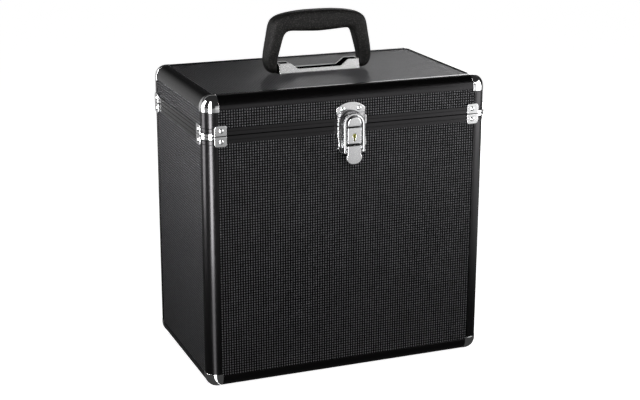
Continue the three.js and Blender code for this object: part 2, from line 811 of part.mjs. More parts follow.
// Handle bracket: a channel whose ends rise into ears that carry the handle's two pins
function handleBracket() {
  const base = topPanelFace + seatGap;
  const half = handleBracketHalf;
  const depth = handleBracketDepth / 2;
  const sheet = handleBracketSheet;
  const wallPoints = [
    [-half, 0],
    [half, 0],
    [half, handleEarHeight],
    [handleEarInner, handleEarHeight],
    [handleMiddleHalf, handleMiddleHeight],
    [-handleMiddleHalf, handleMiddleHeight],
    [-handleEarInner, handleEarHeight],
    [-half, handleEarHeight],
  ];
  const wall = extruded(outline(wallPoints), sheet);
  const wallFront = solid(placed(wall, vector(0, sheet - depth, base), right, up, front));
  const wallBack = solid(placed(wall, vector(0, depth, base), right, up, front));
  const foot = depth + handleBracketFlange;
  const floor = box([-half, -foot, base], [half, foot, base + sheet]);
  const parts = [wallFront, wallBack, floor];
  for (const side of [-1, 1]) {
    const ends = [side * half, side * (half - sheet)].sort((a, b) => a - b);
    parts.push(box([ends[0], -depth, base], [ends[1], depth, base + handleEarHeight]));
    const pin = [side * (half - sheet), side * (half + handlePinReach)].sort((a, b) => a - b);
    parts.push(roundBar("x", pin[0], pin[1], 0, handlePivotZ, handlePinRadius, 2 * rivetSides));
    const place = vector(side * handleRivetX, 0, base + sheet);
    parts.push(rivetHead(place, up, right, handleRivetRadius, handleRivetHeight, sheet / 2));
  }
  return joined(...parts);
}

// A smooth run of points through shares of two sizes
function shareCurve(shares, width, height) {
  const points = shares.map(([x, y]) => new THREE.Vector2(x * width, y * height));
  return new THREE.SplineCurve(points).getPoints(gripCurveSteps).map((p) => [p.x, p.y]);
}

// Handle grip: a rounded bow whose legs narrow to round feet at the pins
function handleGrip() {
  const outer = shareCurve(gripOuterShare, handleHalfWidth, handleTopRise);
  const inner = shareCurve(gripInnerShare, handleLegInner, handleGripUnderside);
  const half = [...outer, ...inner];
  const mirrored = half.slice(1, -1).map(([x, y]) => [-x, y]).reverse();
  const points = [...half, ...mirrored].reverse();
  const bow = new THREE.ExtrudeGeometry(outline(points), {
    depth: handleDepth - 2 * handleRoundDepth,
    bevelEnabled: true,
    bevelSize: handleRound,
    bevelOffset: -handleRound,
    bevelThickness: handleRoundDepth,
    bevelSegments: 3,
    steps: 1,
  });
  const flatHalf = handleDepth / 2 - handleRoundDepth;
  const grip = solid(placed(bow, vector(0, flatHalf, topPanelFace), right, up, front));
  const depth = handleDepth / 2 + overrun;
  const lowAngle = Math.asin((depth - handleFootRadius) / handleFootRun);
  const side = [
    ...arc(0, 0, handleFootRadius, Math.PI + lowAngle, 2 * Math.PI - lowAngle, 2 * arcSteps),
    [depth, handleFootRun],
    [depth, handleTopRise],
    [-depth, handleTopRise],
    [-depth, handleFootRun],
  ];
  const reach = handleHalfWidth + overrun;
  const start = vector(-reach, 0, handlePivotZ);
  const taper = solid(placed(extruded(outline(side), 2 * reach), start, back, up, right));
  let whole = grip.intersect(taper);
  const socketLow = handleBracketHalf - overrun;
  const socketHigh = handleBracketHalf + handlePinReach + handlePinGap;
  const socketRadius = handlePinRadius + handlePinGap;
  for (const s of [-1, 1]) {
    const [low, high] = [s * socketLow, s * socketHigh].sort((a, b) => a - b);
    whole = whole.subtract(roundBar("x", low, high, 0, handlePivotZ, socketRadius, 2 * rivetSides));
  }
  return whole;
}

const model = new THREE.Group();
model.position.y = (latchProtrusion - hingeProtrusion) / 2;

function addSolid(name, body, makeMaterial) {
  const mesh = new THREE.Mesh(geometryOf(body), makeMaterial());
  mesh.name = name;
  model.add(mesh);
  return mesh;
}

// Panels of the body and of the lid
function addPanels() {
  const x = halfWidth - panelEdgeInset;
  const y = halfDepth - panelEdgeInset;
  const near = panelRecess;
  const far = panelRecess + panelThickness;
  const halves = [
    ["body", panelEdgeInset, bodyRimTop - rimWeb - seatGap],
    ["lid", seam + lidBridgeHeight + lidBridgeThickness + seatGap, caseHeight - panelEdgeInset],
  ];
  for (const [half, low, high] of halves) {
    const fore = box([-x, near - halfDepth, low], [x, far - halfDepth, high]);
    addSolid(`${half}_front_panel`, fore, panelMaterial);
    const rear = box([-x, halfDepth - far, low], [x, halfDepth - near, high]);
    addSolid(`${half}_back_panel`, rear, panelMaterial);
    const left = box([near - halfWidth, -y, low], [far - halfWidth, y, high]);
    addSolid(`${half}_left_panel`, left, panelMaterial);
    const rightSide = box([halfWidth - far, -y, low], [halfWidth - near, y, high]);
    addSolid(`${half}_right_panel`, rightSide, panelMaterial);
  }
  addSolid("body_bottom_panel", box([-x, -y, near], [x, y, far]), panelMaterial);
  addSolid("lid_top_panel", box([-x, -y, caseHeight - far], [x, y, caseHeight - near]), panelMaterial);
}

// The four upright corners, each with its name and its outward signs
const uprights = [
  ["front_left", -1, -1],
  ["front_right", 1, -1],
  ["back_left", -1, 1],
  ["back_right", 1, 1],
];

// Bottom and top ends of the case: name, height of the outer plane, direction inwards
const ends = [
  ["bottom", 0, 1],
  ["top", caseHeight, -1],
];

function addProfiles() {
  const clear = cornerReach + seatGap;
  for (const [end, z, inward] of ends) {
    const inwardZ = vector(0, 0, inward);
    const lengthX = caseWidth - 2 * clear;
    const lengthY = caseDepth - 2 * clear;
    const sides = [
      ["front", vector(clear - halfWidth, -halfDepth, z), back, right, lengthX],
      ["back", vector(clear - halfWidth, halfDepth, z), front, right, lengthX],
      ["left", vector(-halfWidth, clear - halfDepth, z), right, back, lengthY],
      ["right", vector(halfWidth, clear - halfDepth, z), left, back, lengthY],
    ];
    for (const [side, origin, inwardSide, along, length] of sides) {
      const profile = edgeProfile(origin, inwardSide, inwardZ, along, length);
      addSolid(`${end}_edge_${side}`, profile, profileMaterial);
    }
  }
  for (const [place, sx, sy] of uprights) {
    const posts = [
      ["body_post", clear, bodyRimBottom - seatGap],
      ["lid_post", lidRimTop + seatGap, caseHeight - clear],
    ];
    for (const [name, low, high] of posts) {
      const origin = vector(sx * halfWidth, sy * halfDepth, low);
      const post = edgeProfile(origin, vector(-sx, 0, 0), vector(0, -sy, 0), up, high - low);
      addSolid(`${name}_${place}`, post, profileMaterial);
    }
  }
}

function addCorners() {
  const corner = geometryOf(ballCorner());
  for (const [end, z, inward] of ends) {
    for (const [place, sx, sy] of uprights) {
      const origin = vector(sx * halfWidth, sy * halfDepth, z);
      const turned = placed(corner, origin, vector(-sx, 0, 0), vector(0, -sy, 0), vector(0, 0, inward));
      addSolid(`${end}_corner_${place}`, solid(turned), chromeMaterial);
    }
  }
}

function addBrackets() {
  const bracket = geometryOf(seamBracket());
  for (const [half, z, away] of [["body", bodyRimTop, -1], ["lid", lidRimBottom, 1]]) {
    for (const [place, sx, sy] of uprights) {
      const origin = vector(sx * halfWidth, sy * halfDepth, z);
      const turned = placed(bracket, origin, vector(-sx, 0, 0), vector(0, -sy, 0), vector(0, 0, away));
      addSolid(`${half}_bracket_${place}`, solid(turned), chromeMaterial);
    }
  }
}

function addHinges() {
  const { ends: outerKnuckles, middle } = hingeKnuckles();
  const bodyLeaf = geometryOf(hingeLeaf(outerKnuckles, middle));
  const lidLeaf = geometryOf(hingeLeaf(middle, outerKnuckles));
  for (const [side, x] of [["left", -hingeCentre], ["right", hingeCentre]]) {
    const origin = vector(x, halfDepth, seam);
    addSolid(`hinge_${side}_body_leaf`, solid(placed(bodyLeaf, origin, right, back, down)), steelMaterial);
    addSolid(`hinge_${side}_lid_leaf`, solid(placed(lidLeaf, origin, right, back, up)), steelMaterial);
    const half = hingeWidth / 2 + hingePinProud;
    const axisY = halfDepth + hingeAxisOut;
    const pin = roundBar("x", x - half, x + half, axisY, seam, hingePinRadius, rivetSides);
    addSolid(`hinge_${side}_pin`, pin, steelMaterial);
  }
}

addPanels();
addProfiles();
addCorners();
addSolid("body_rim_frame", bodyRimFrame(), profileMaterial);
addSolid("lid_rim_frame", lidRimFrame(), profileMaterial);
addBrackets();
const bodyLiningTop = seam - bodyLiningDrop;
const bodyHollow = [liningInset + liningThickness, bodyLiningTop + overrun];
addSolid("body_lining", lining(liningInset, bodyLiningTop, ...bodyHollow), liningMaterial);
const lidLiningBottom = seam + lidLiningRise;
const lidHollow = [lidLiningBottom - overrun, caseHeight - liningInset - liningThickness];
addSolid("lid_lining", lining(lidLiningBottom, caseHeight - liningInset, ...lidHollow), liningMaterial);
addHinges();
addSolid("latch_keeper", latchKeeper(), chromeMaterial);
addSolid("latch_base", latchBase(), chromeMaterial);
addSolid("latch_lever_pin", latchLeverPin(), steelMaterial);
addSolid("latch_lever", latchLever(), chromeMaterial);
addSolid("latch_loop", latchLoop(), chromeMaterial);
addSolid("lock_cylinder", lockCylinder(), brassMaterial);
addSolid("handle_bracket", handleBracket(), chromeMaterial);
addSolid("handle_grip", handleGrip(), gripMaterial);

export default model;
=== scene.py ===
import math

import bmesh
import bpy
from mathutils import Matrix, Vector


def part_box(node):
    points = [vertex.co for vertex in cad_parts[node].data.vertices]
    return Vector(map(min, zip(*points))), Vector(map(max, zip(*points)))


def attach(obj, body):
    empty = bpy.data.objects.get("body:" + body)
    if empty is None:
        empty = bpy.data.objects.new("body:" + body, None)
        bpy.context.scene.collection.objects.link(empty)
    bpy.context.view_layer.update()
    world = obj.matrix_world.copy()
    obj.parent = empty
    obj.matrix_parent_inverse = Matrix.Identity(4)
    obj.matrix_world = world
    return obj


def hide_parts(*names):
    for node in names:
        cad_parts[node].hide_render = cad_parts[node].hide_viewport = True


# Record carrying case: embossed panels in satin black edge profiles, chrome ball corners,
# seam brackets, a lockable draw latch, a folding grip, and two hinges on the back.
# +X is right, -Y is the front with the latch, +Z is up. Sizes are metres.

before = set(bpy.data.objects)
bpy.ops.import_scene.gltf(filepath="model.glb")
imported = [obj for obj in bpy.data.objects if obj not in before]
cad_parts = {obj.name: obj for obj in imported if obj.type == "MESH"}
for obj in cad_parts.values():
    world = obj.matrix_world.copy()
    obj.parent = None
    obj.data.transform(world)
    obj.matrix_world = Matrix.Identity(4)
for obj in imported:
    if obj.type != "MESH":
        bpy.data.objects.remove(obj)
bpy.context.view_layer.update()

MM = 0.001
QUARTER = math.pi / 2
X = Vector((1, 0, 0))
Y = Vector((0, 1, 0))
Z = Vector((0, 0, 1))
UNMOVED = Matrix.Identity(4)


# Places that the frame gives

def low_of(node):
    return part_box(node)[0]


def high_of(node):
    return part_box(node)[1]


case_low = low_of("bottom_corner_front_left")
case_high = high_of("top_corner_back_right")
front = case_low.y
back = case_high.y
middle_y = (front + back) / 2
half_width = case_high.x
half_depth = (back - front) / 2
corner_reach = high_of("bottom_corner_front_left").x - case_low.x
flange = high_of("bottom_edge_front").z - case_low.z
body_rim_top = high_of("body_bracket_front_left").z
lid_rim_low = low_of("lid_bracket_front_left").z
seam = (body_rim_top + lid_rim_low) / 2
body_rim_low = low_of("body_rim_frame").z
lid_rim_top = high_of("lid_rim_frame").z
top_face = high_of("lid_top_panel").z
panel_recess = low_of("body_front_panel").y - front

# The ends of the case, and its four uprights with their inward directions and places
ends = [("bottom", "body", Z), ("top", "lid", -Z)]
uprights = []
for depth_name, inward_y, upright_y in (("front", Y, front), ("back", -Y, back)):
    for side_name, inward_x, upright_x in (("left", X, -half_width), ("right", -X, half_width)):
        upright_place = Vector((upright_x, upright_y, 0))
        uprights.append((f"{depth_name}_{side_name}", inward_x, inward_y, upright_place))

# Sizes of the profiles, measured inwards from the case's outer planes
profile_radius = 14 * MM
profile_wall = 1 * MM
profile_lip = 0.5 * MM
slot_inner = 5.6 * MM
slot_edge = 10.5 * MM
inner_face = 6.8 * MM
inner_reach = 13 * MM

# Sizes of the latch that looks and shapes share; heights are above the seam
lock_half = 8.4 * MM
lever_half = 8.25 * MM
hook_top = 12.4 * MM
hook_slack = 0.6 * MM
hook_centre = hook_top - hook_slack - lock_half
latch_reach = front - low_of("latch_lever").y

# Sizes of the handle's channel that looks and shapes share; heights are above its base
channel_flange = 2.2 * MM
channel_sheet = 1.2 * MM
channel_depth = (high_of("handle_bracket").y - low_of("handle_bracket").y) / 2 - channel_flange
channel_lean = math.tan(math.radians(9))
channel_base = low_of("handle_bracket").z
channel_ear = high_of("handle_bracket").z - channel_base
channel_rise = 5.4 * MM
channel_pin = 9 * MM
channel_half = high_of("handle_bracket").x - channel_pin
channel_ear_in = channel_half - 14.5 * MM
channel_middle = channel_ear_in - 9.5 * MM


# Mesh helpers

def arc(x, y, radius, start, end, steps=12):
    """Points along an arc in a plane."""
    turn = [start + (end - start) * i / steps for i in range(steps + 1)]
    return [(x + radius * math.cos(a), y + radius * math.sin(a)) for a in turn]


def circle(radius, sides):
    return arc(0, 0, radius, 0, 4 * QUARTER, sides)[:-1]


def squarish(share, power):
    """A sine or cosine drawn towards 1 or -1, so that a round section turns squarish."""
    return math.copysign(abs(share) ** power, share)


def rounded(points, radius=0, steps=5):
    """An outline with its corners rounded; a point may bring its own radius as a third number."""
    made = []
    count = len(points)
    for i, point in enumerate(points):
        here = Vector(point[:2])
        before = Vector(points[i - 1][:2]) - here
        after = Vector(points[(i + 1) % count][:2]) - here
        wanted = point[2] if len(point) > 2 else radius
        between = before.angle(after)
        if wanted <= 0 or between > math.pi - 0.01:
            made.append(tuple(here))
            continue
        reach = min(wanted / math.tan(between / 2), before.length * 0.49, after.length * 0.49)
        start = here + before.normalized() * reach
        end = here + after.normalized() * reach
        for step in range(steps + 1):
            t = step / steps
            a = start.lerp(here, t)
            b = here.lerp(end, t)
            made.append(tuple(a.lerp(b, t)))
    return made


def rectangle(x_low, x_high, y_low, y_high, low_radius=0, high_radius=None, steps=5):
    """A rectangle; the corners at its high y may have a radius of their own."""
    if high_radius is None:
        high_radius = low_radius
    low_side = [(x_low, y_low, low_radius), (x_high, y_low, low_radius)]
    high_side = [(x_high, y_high, high_radius), (x_low, y_high, high_radius)]
    return rounded([*low_side, *high_side], steps=steps)


def both_sides(right):
    """An outline from the points of its right side, which the left side mirrors."""
    return [*right, *((-point[0], *point[1:]) for point in reversed(right))]


def mirrored_spans(inner, outer):
    """Two spans along x, the left one first."""
    return (-outer, -inner), (inner, outer)


def corner_arcs(x, y):
    """Centres of four corner arcs round the case's middle, and the angle where each starts."""
    centres = enumerate(((x, -y), (x, y), (-x, y), (-x, -y)), -1)
    return [(cx, cy + middle_y, QUARTER * turn) for turn, (cx, cy) in centres]


def basis(origin, u, v, w):
    """The matrix that puts a mesh's own x, y and z along three directions."""
    matrix = Matrix((u, v, w)).transposed().to_4x4()
    matrix.translation = origin
    return matrix


def placed(name, data):
    """A new object in the scene."""
    obj = bpy.data.objects.new(name, data)
    bpy.context.scene.collection.objects.link(obj)
    return obj


def evaluated_mesh(obj):
    """The object's finished geometry as a plain mesh."""
    depsgraph = bpy.context.evaluated_depsgraph_get()
    return bpy.data.meshes.new_from_object(obj.evaluated_get(depsgraph))


def pressed(outline, low, high, edge, holes=()):
    """A plate with its outline in x and y, its faces at two heights, and rounded edges."""
    curve = bpy.data.curves.new("plate", "CURVE")
    curve.dimensions = "2D"
    curve.fill_mode = "BOTH"
    curve.extrude = (high - low) / 2 - edge
    curve.bevel_depth = edge
    curve.bevel_resolution = 2
    curve.offset = -edge
    for loop in [outline, *holes]:
        run = curve.splines.new("POLY")
        run.points.add(len(loop) - 1)
        for point, (x, y) in zip(run.points, loop):
            point.co = (x, y, 0, 1)
        run.use_cyclic_u = True
    obj = placed("plate", curve)
    mesh = evaluated_mesh(obj)
    bpy.data.objects.remove(obj)
    bpy.data.curves.remove(curve)
    mesh.transform(Matrix.Translation((0, 0, (low + high) / 2)))
    return mesh


def mesh_of(points, faces):
    mesh = bpy.data.meshes.new("part")
    mesh.from_pydata(points, [], faces)
    return mesh


def lofted(rings, closed=False):
    """A skin over rings of points; it is closed on itself, or capped at both ends."""
    count = len(rings[0])
    points = [point for ring in rings for point in ring]
    faces = []
    spans = len(rings) if closed else len(rings) - 1
    for i in range(spans):
        a = i * count
        b = ((i + 1) % len(rings)) * count
        for j in range(count):
            k = (j + 1) % count
            faces.append((a + j, a + k, b + k, b + j))
    if not closed:
        faces.append(tuple(reversed(range(count))))
        faces.append(tuple(range(len(points) - count, len(points))))
    return mesh_of(points, faces)


def pin(radius, low, high, edge, sides=32):
    """A round pin along z with rounded ends."""
    start = arc(radius - edge, low + edge, edge, -QUARTER, 0, 4)
    end = arc(radius - edge, high - edge, edge, 0, QUARTER, 4)
    return lofted([[(x, y, height) for x, y in circle(reach, sides)] for reach, height in [*start, *end]])


def swept_rim(section):
    """A rim round the case: its section is given as inset from the outer planes and height."""
    rings = []
    steps = 10
    for x, y, start in corner_arcs(half_width - profile_radius, half_depth - profile_radius):
        for i in range(steps + 1):
            angle = start + QUARTER * i / steps
            ring = []
            for inset, height in section:
                radius = profile_radius - inset
                ring.append((x + radius * math.cos(angle), y + radius * math.sin(angle), height))
            rings.append(ring)
    return lofted(rings, closed=True)


WELD = 0.001 * MM


def joined(parts):
    """Closed parts, each with its matrix, as one mesh with its faces outwards."""
    whole = bmesh.new()
    for mesh, matrix in parts:
        mesh.transform(matrix)
        whole.from_mesh(mesh)
        bpy.data.meshes.remove(mesh)
    bmesh.ops.remove_doubles(whole, verts=whole.verts, dist=WELD)
    bmesh.ops.dissolve_degenerate(whole, edges=whole.edges, dist=WELD)
    bmesh.ops.recalc_face_normals(whole, faces=whole.faces)
    mesh = bpy.data.meshes.new("joined")
    whole.to_mesh(mesh)
    whole.free()
    return mesh


def shaded(obj, sharp_angle):
    """Smooth shading that keeps flat faces flat, fixed in the mesh."""
    obj.data.shade_smooth()
    obj.data.set_sharp_from_angle(angle=math.radians(sharp_angle))
    weighted = obj.modifiers.new("flat_faces", "WEIGHTED_NORMAL")
    weighted.keep_sharp = True
    finished = evaluated_mesh(obj)
    obj.modifiers.clear()
    old = obj.data
    obj.data = finished
    bpy.data.meshes.remove(old)


def piece(name, parts, body, material, stands_for, sharp_angle=50):
    """One finished piece of the case, riding on its body in the place of its nodes."""
    mesh = joined(parts)
    mesh.materials.append(material)
    obj = placed(name, mesh)
    shaded(obj, sharp_angle)
    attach(obj, body)
    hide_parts(*stands_for)


# Node trees

class Graph:
    """A node tree, with one way to add its nodes."""

    def __init__(self, tree):
        self.tree = tree

    def node(self, kind, inputs=None, settings=None):
        """Adds a node: its settings first, then the values or links of its sockets."""
        made = self.tree.nodes.new(kind)
        for name, value in (settings or {}).items():
            setattr(made, name, value)
        for key, value in (inputs or {}).items():
            socket = made.inputs[key]
            if isinstance(value, Flow):
                self.tree.links.new(value.socket, socket)
            else:
                socket.default_value = value
        return made

    def flow(self, kind, output, inputs=None, settings=None):
        """Adds a node and gives one of its outputs."""
        return Flow(self, self.node(kind, inputs, settings).outputs[output])


def maths(operation, reflected=False):
    """A method that adds one Math node; a reflected one takes its own value second."""
    def method(self, other):
        values = {0: other, 1: self} if reflected else {0: self, 1: other}
        return self.graph.flow("ShaderNodeMath", 0, values, {"operation": operation})

    return method


class Flow:
    """A value in a node tree, so that its maths reads as a plain expression."""

    def __init__(self, graph, socket):
        self.graph = graph
        self.socket = socket

    __add__ = maths("ADD")
    __radd__ = maths("ADD", reflected=True)
    __sub__ = maths("SUBTRACT")
    __rsub__ = maths("SUBTRACT", reflected=True)
    __mul__ = maths("MULTIPLY")
    __rmul__ = maths("MULTIPLY", reflected=True)
    __truediv__ = maths("DIVIDE")
    __pow__ = maths("POWER")
    __gt__ = maths("GREATER_THAN")
    most = maths("MAXIMUM")

    def __abs__(self):
        return self.most(self * -1.0)

    def rise(self, low, high):
        """Runs softly from 0 to 1 as the value passes from low to high."""
        inputs = {"Value": self, "From Min": low, "From Max": high}
        return self.graph.flow("ShaderNodeMapRange", 0, inputs, {"interpolation_type": "SMOOTHSTEP"})

    def fall(self, low, high):
        """Runs softly from 1 to 0 as the value passes from low to high."""
        return 1 - self.rise(low, high)

    def band(self, start, full, fade, end):
        """Rises from start to full, and falls back from fade to end."""
        return self.rise(start, full) * self.fall(fade, end)

    def tint(self, first, second):
        """The colour between two, at this share; each is a colour of three numbers or a flow."""
        first, second = (c if isinstance(c, Flow) else (*c, 1) for c in (first, second))
        return self.graph.flow("ShaderNodeMix", 2, {0: self, 6: first, 7: second}, {"data_type": "RGBA"})

    def split(self):
        """The x, y and z of a vector."""
        parts = self.graph.node("ShaderNodeSeparateXYZ", {"Vector": self})
        return [Flow(self.graph, parts.outputs[i]) for i in range(3)]

    def stretched(self, scale):
        """Coordinates scaled along each axis."""
        return self.graph.flow("ShaderNodeMapping", 0, {"Vector": self, "Scale": scale})

    def noise(self, scale, detail=2):
        """Noise at these coordinates."""
        return self.graph.flow("ShaderNodeTexNoise", 0, {"Vector": self, "Scale": scale, "Detail": detail})

    def bump(self, distance):
        """The normal of a surface that this height raises by a real distance."""
        return self.graph.flow("ShaderNodeBump", "Normal", {"Height": self, "Distance": distance})


def emptied_graph(owner):
    """The node tree of a material or a world, without its nodes."""
    owner.use_nodes = True
    owner.node_tree.nodes.clear()
    return Graph(owner.node_tree)


# Finishes; each gives the varying sockets of one Principled shader

def laminate(at):
    """Black laminate between the raised dots: a fine dry grain with faint cloudy patches."""
    grain = at.noise(1400, 3)
    cloud = at.noise(9)
    return {
        "Base Color": cloud.tint((0.0015, 0.0015, 0.0018), (0.0035, 0.0035, 0.004)),
        "Roughness": 0.24 + cloud * 0.05 + grain * 0.04,
        "Normal": grain.bump(0.006 * MM),
    }


def dot_laminate(at):
    """The tops of the dots, paler than the ground: partly their own tone, partly painted sheen."""
    grain = at.noise(1700)
    wear = at.noise(60, 3)
    return {
        # The pale tone of the dots stands partly for painted sheen on their tops
        "Base Color": wear.tint((0.14, 0.138, 0.147), (0.22, 0.218, 0.23)),
        "Roughness": 0.3 + wear * 0.12 + grain * 0.05,
        "Normal": grain.bump(0.02 * MM),
    }


def anodised(along):
    """Satin black anodised aluminium with faint drawing lines along the profile."""
    scale = [6 if axis in along else 2600 for axis in "xyz"]

    def build(at):
        lines = at.stretched(scale).noise(1)
        cloud = at.noise(14)
        return {
            "Base Color": cloud.tint((0.031, 0.0302, 0.0313), (0.042, 0.041, 0.0425)),
            "Roughness": 0.19 + lines * 0.06 + cloud * 0.05,
            "Normal": lines.bump(0.006 * MM),
        }

    return build


def chromed(at):
    """Bright plated steel with soft handling marks and a faint orange-peel ripple."""
    smear = at.noise(120, 4)
    return {
        "Base Color": smear.tint((0.74, 0.74, 0.745), (0.82, 0.82, 0.825)),
        "Roughness": 0.04 + smear * 0.1,
        "Normal": at.noise(420, 1).bump(0.01 * MM),
    }


def satin_plate(at):
    """Nickel-plated pressing, brushed a little upright, with painted shade on the sides of hook and lock
    and round the hook behind the loop.
    """
    brush = at.stretched((2200, 2200, 60)).noise(1)
    smear = at.noise(150, 3)
    side, depth, height = at.split()
    above = (height - (seam + hook_centre)).most(0.0)
    from_hook = (side * side + above * above) ** 0.5
    out = (depth - front) * -1.0
    # Painted shade on the sides of the hook and of the lock housing, from the base plate to short of their
    # fronts
    side_start = 2.3 * MM
    side_end = latch_reach - 0.7 * MM
    hook_edge = lock_half + 0.2 * MM
    sides = out.band(side_start, side_start + 0.5 * MM, side_end - 0.4 * MM, side_end)
    sides = sides * from_hook.fall(hook_edge, hook_edge + 0.3 * MM)
    # Painted shadow of the loop on the keeper's plate, as a dark ring round the hook behind the loop
    ring_in = 11.8 * MM
    ring_out = 14.8 * MM
    plate_out = 4 * MM
    ring = from_hook.band(ring_in, ring_in + 0.8 * MM, ring_out - 0.6 * MM, ring_out)
    ring = ring * out.fall(plate_out, plate_out + 0.5 * MM)
    plate = smear.tint((0.68, 0.68, 0.69), (0.78, 0.78, 0.785))
    return {
        # The painted shade on the sides and the painted shadow of the loop take the plate towards near
        # black
        "Base Color": sides.most(ring * 0.8).tint(plate, (0.04, 0.04, 0.042)),
        "Roughness": 0.12 + brush * 0.08 + smear * 0.08,
        "Normal": brush.bump(0.004 * MM),
    }


def brushed_channel(at):
    """Plated channel, brushed along its length, with painted shade on its inside and a pale upper rim."""
    brush = at.stretched((50, 2200, 2200)).noise(1)
    smear = at.noise(130, 3)
    side, depth, height = at.split()
    depth = depth - middle_y
    height = height - channel_base
    # The height of the wall's upper edge: low in the middle, climbing to the ears
    slope = 1 / (channel_ear_in - channel_middle)
    climb = ((abs(side) - channel_middle) * slope).most(0.0)
    climb = 1 - (1 - climb).most(0.0)
    wall_top = climb * (channel_ear - channel_rise) + channel_rise
    # Distance from the channel's middle, as if its leaning walls stood upright
    leaned = abs(depth) + height * channel_lean
    half_inside = channel_depth - channel_sheet + 0.08 * MM
    outwards = leaned.rise(half_inside - 0.06 * MM, half_inside)
    inner = 1 - outwards
    rim_height = 1.1 * MM
    rim = inner * (height - wall_top).rise(-rim_height, 0.1 * MM - rim_height)
    # Painted shade: the channel's inside, below its rim, is coloured near black
    inside = inner * (1 - rim)
    within_wall = leaned.fall(channel_depth - 0.1 * MM, channel_depth - 0.04 * MM)
    cut_edge = outwards * within_wall * height.rise(2 * MM, 3 * MM)
    plate = smear.tint((0.72, 0.72, 0.72), (0.82, 0.82, 0.82))
    return {
        "Base Color": inside.tint(plate, (0.03, 0.03, 0.032)),
        "Metallic": 1 - rim * 0.9,
        "Roughness": 0.14 + brush * 0.08 + smear * 0.08 + cut_edge * 0.3,
        "Normal": brush.bump(0.006 * MM),
    }


def hinge_steel(at):
    """Zinc-plated steel, duller than the chrome, with a grain along the hinge."""
    brush = at.stretched((40, 2000, 2000)).noise(1)
    spots = at.noise(240, 3)
    return {
        "Base Color": spots.tint((0.4, 0.41, 0.42), (0.5, 0.51, 0.52)),
        "Roughness": 0.26 + brush * 0.1 + spots * 0.08,
        "Normal": brush.bump(0.006 * MM),
    }


def lock_brass(at):
    """Turned brass with slight tarnish."""
    tarnish = at.noise(500, 3)
    return {
        "Base Color": tarnish.tint((0.4, 0.39, 0.11), (0.58, 0.56, 0.22)),
        "Roughness": 0.24 + tarnish * 0.16,
        "Normal": tarnish.bump(0.01 * MM),
    }


def grip_plastic(at):
    """Moulded black plastic with a leathery grain and pale speckles."""
    cells = at.graph.flow("ShaderNodeTexVoronoi", "Distance", {"Vector": at, "Scale": 900})
    grain = at.noise(620)
    cloud = at.noise(25)
    share = cloud * 0.2 + grain.rise(0.5, 0.68) * 0.8
    return {
        "Base Color": share.tint((0.002, 0.002, 0.002), (0.034, 0.032, 0.03)),
        "Roughness": 0.42 + cloud * 0.08 + grain * 0.1,
        "Normal": (cells + grain * 0.7).bump(0.3 * MM),
    }


def lining_cloth(at):
    """Short-napped black lining over thin foam."""
    nap = at.noise(2200, 4)
    mottle = at.noise(70, 3)
    return {
        "Base Color": nap.tint((0.012, 0.012, 0.013), (0.035, 0.035, 0.037)),
        "Roughness": 0.86 + mottle * 0.12,
        "Normal": (nap + mottle * 0.4).bump(0.25 * MM),
    }


def new_material(name, build, values):
    """A material whose surface is one Principled shader: fixed values, and those of a finish."""
    material = bpy.data.materials.new(name)
    graph = emptied_graph(material)
    at = graph.flow("ShaderNodeTexCoord", "Object")
    surface = graph.flow("ShaderNodeBsdfPrincipled", "BSDF", {**values, **build(at)})
    graph.node("ShaderNodeOutputMaterial", {"Surface": surface})
    return material


METAL = {"Metallic": 1.0}
laminate_black = new_material("laminate_black", laminate, {"Specular IOR Level": 0.1})
laminate_dots = new_material("laminate_dots", dot_laminate, {"Specular IOR Level": 0.12})
anodised_x = new_material("anodised_x", anodised("x"), METAL)
anodised_y = new_material("anodised_y", anodised("y"), METAL)
anodised_z = new_material("anodised_z", anodised("z"), METAL)
anodised_rim = new_material("anodised_rim", anodised("xy"), METAL)
chrome = new_material("chrome", chromed, METAL)
latch_plate = new_material("latch_plate", satin_plate, METAL)
channel_plate = new_material("channel_plate", brushed_channel, METAL)
plated_steel = new_material("plated_steel", hinge_steel, METAL)
brass = new_material("brass", lock_brass, METAL)
grip_black = new_material("grip_black", grip_plastic, {"Specular IOR Level": 0.15})
lining_black = new_material("lining_black", lining_cloth, {})


# Raised dots and rivets, which geometry nodes repeat

def geometry_tree(name, inputs):
    """An empty geometry tree with named inputs and one geometry output."""
    tree = bpy.data.node_groups.new(name, "GeometryNodeTree")
    for label, kind in inputs.items():
        tree.interface.new_socket(name=label, in_out="INPUT", socket_type="NodeSocket" + kind)
    tree.interface.new_socket(name="Geometry", in_out="OUTPUT", socket_type="NodeSocketGeometry")
    graph = Graph(tree)
    source = graph.node("NodeGroupInput")
    return graph, {label: Flow(graph, source.outputs[label]) for label in inputs}


def close_tree(graph, instances, material):
    """Ends a tree: real geometry with its material."""
    real = graph.flow("GeometryNodeRealizeInstances", 0, {"Geometry": instances})
    done = graph.flow("GeometryNodeSetMaterial", 0, {"Geometry": real, "Material": material})
    graph.node("NodeGroupOutput", {"Geometry": done})
    return graph.tree


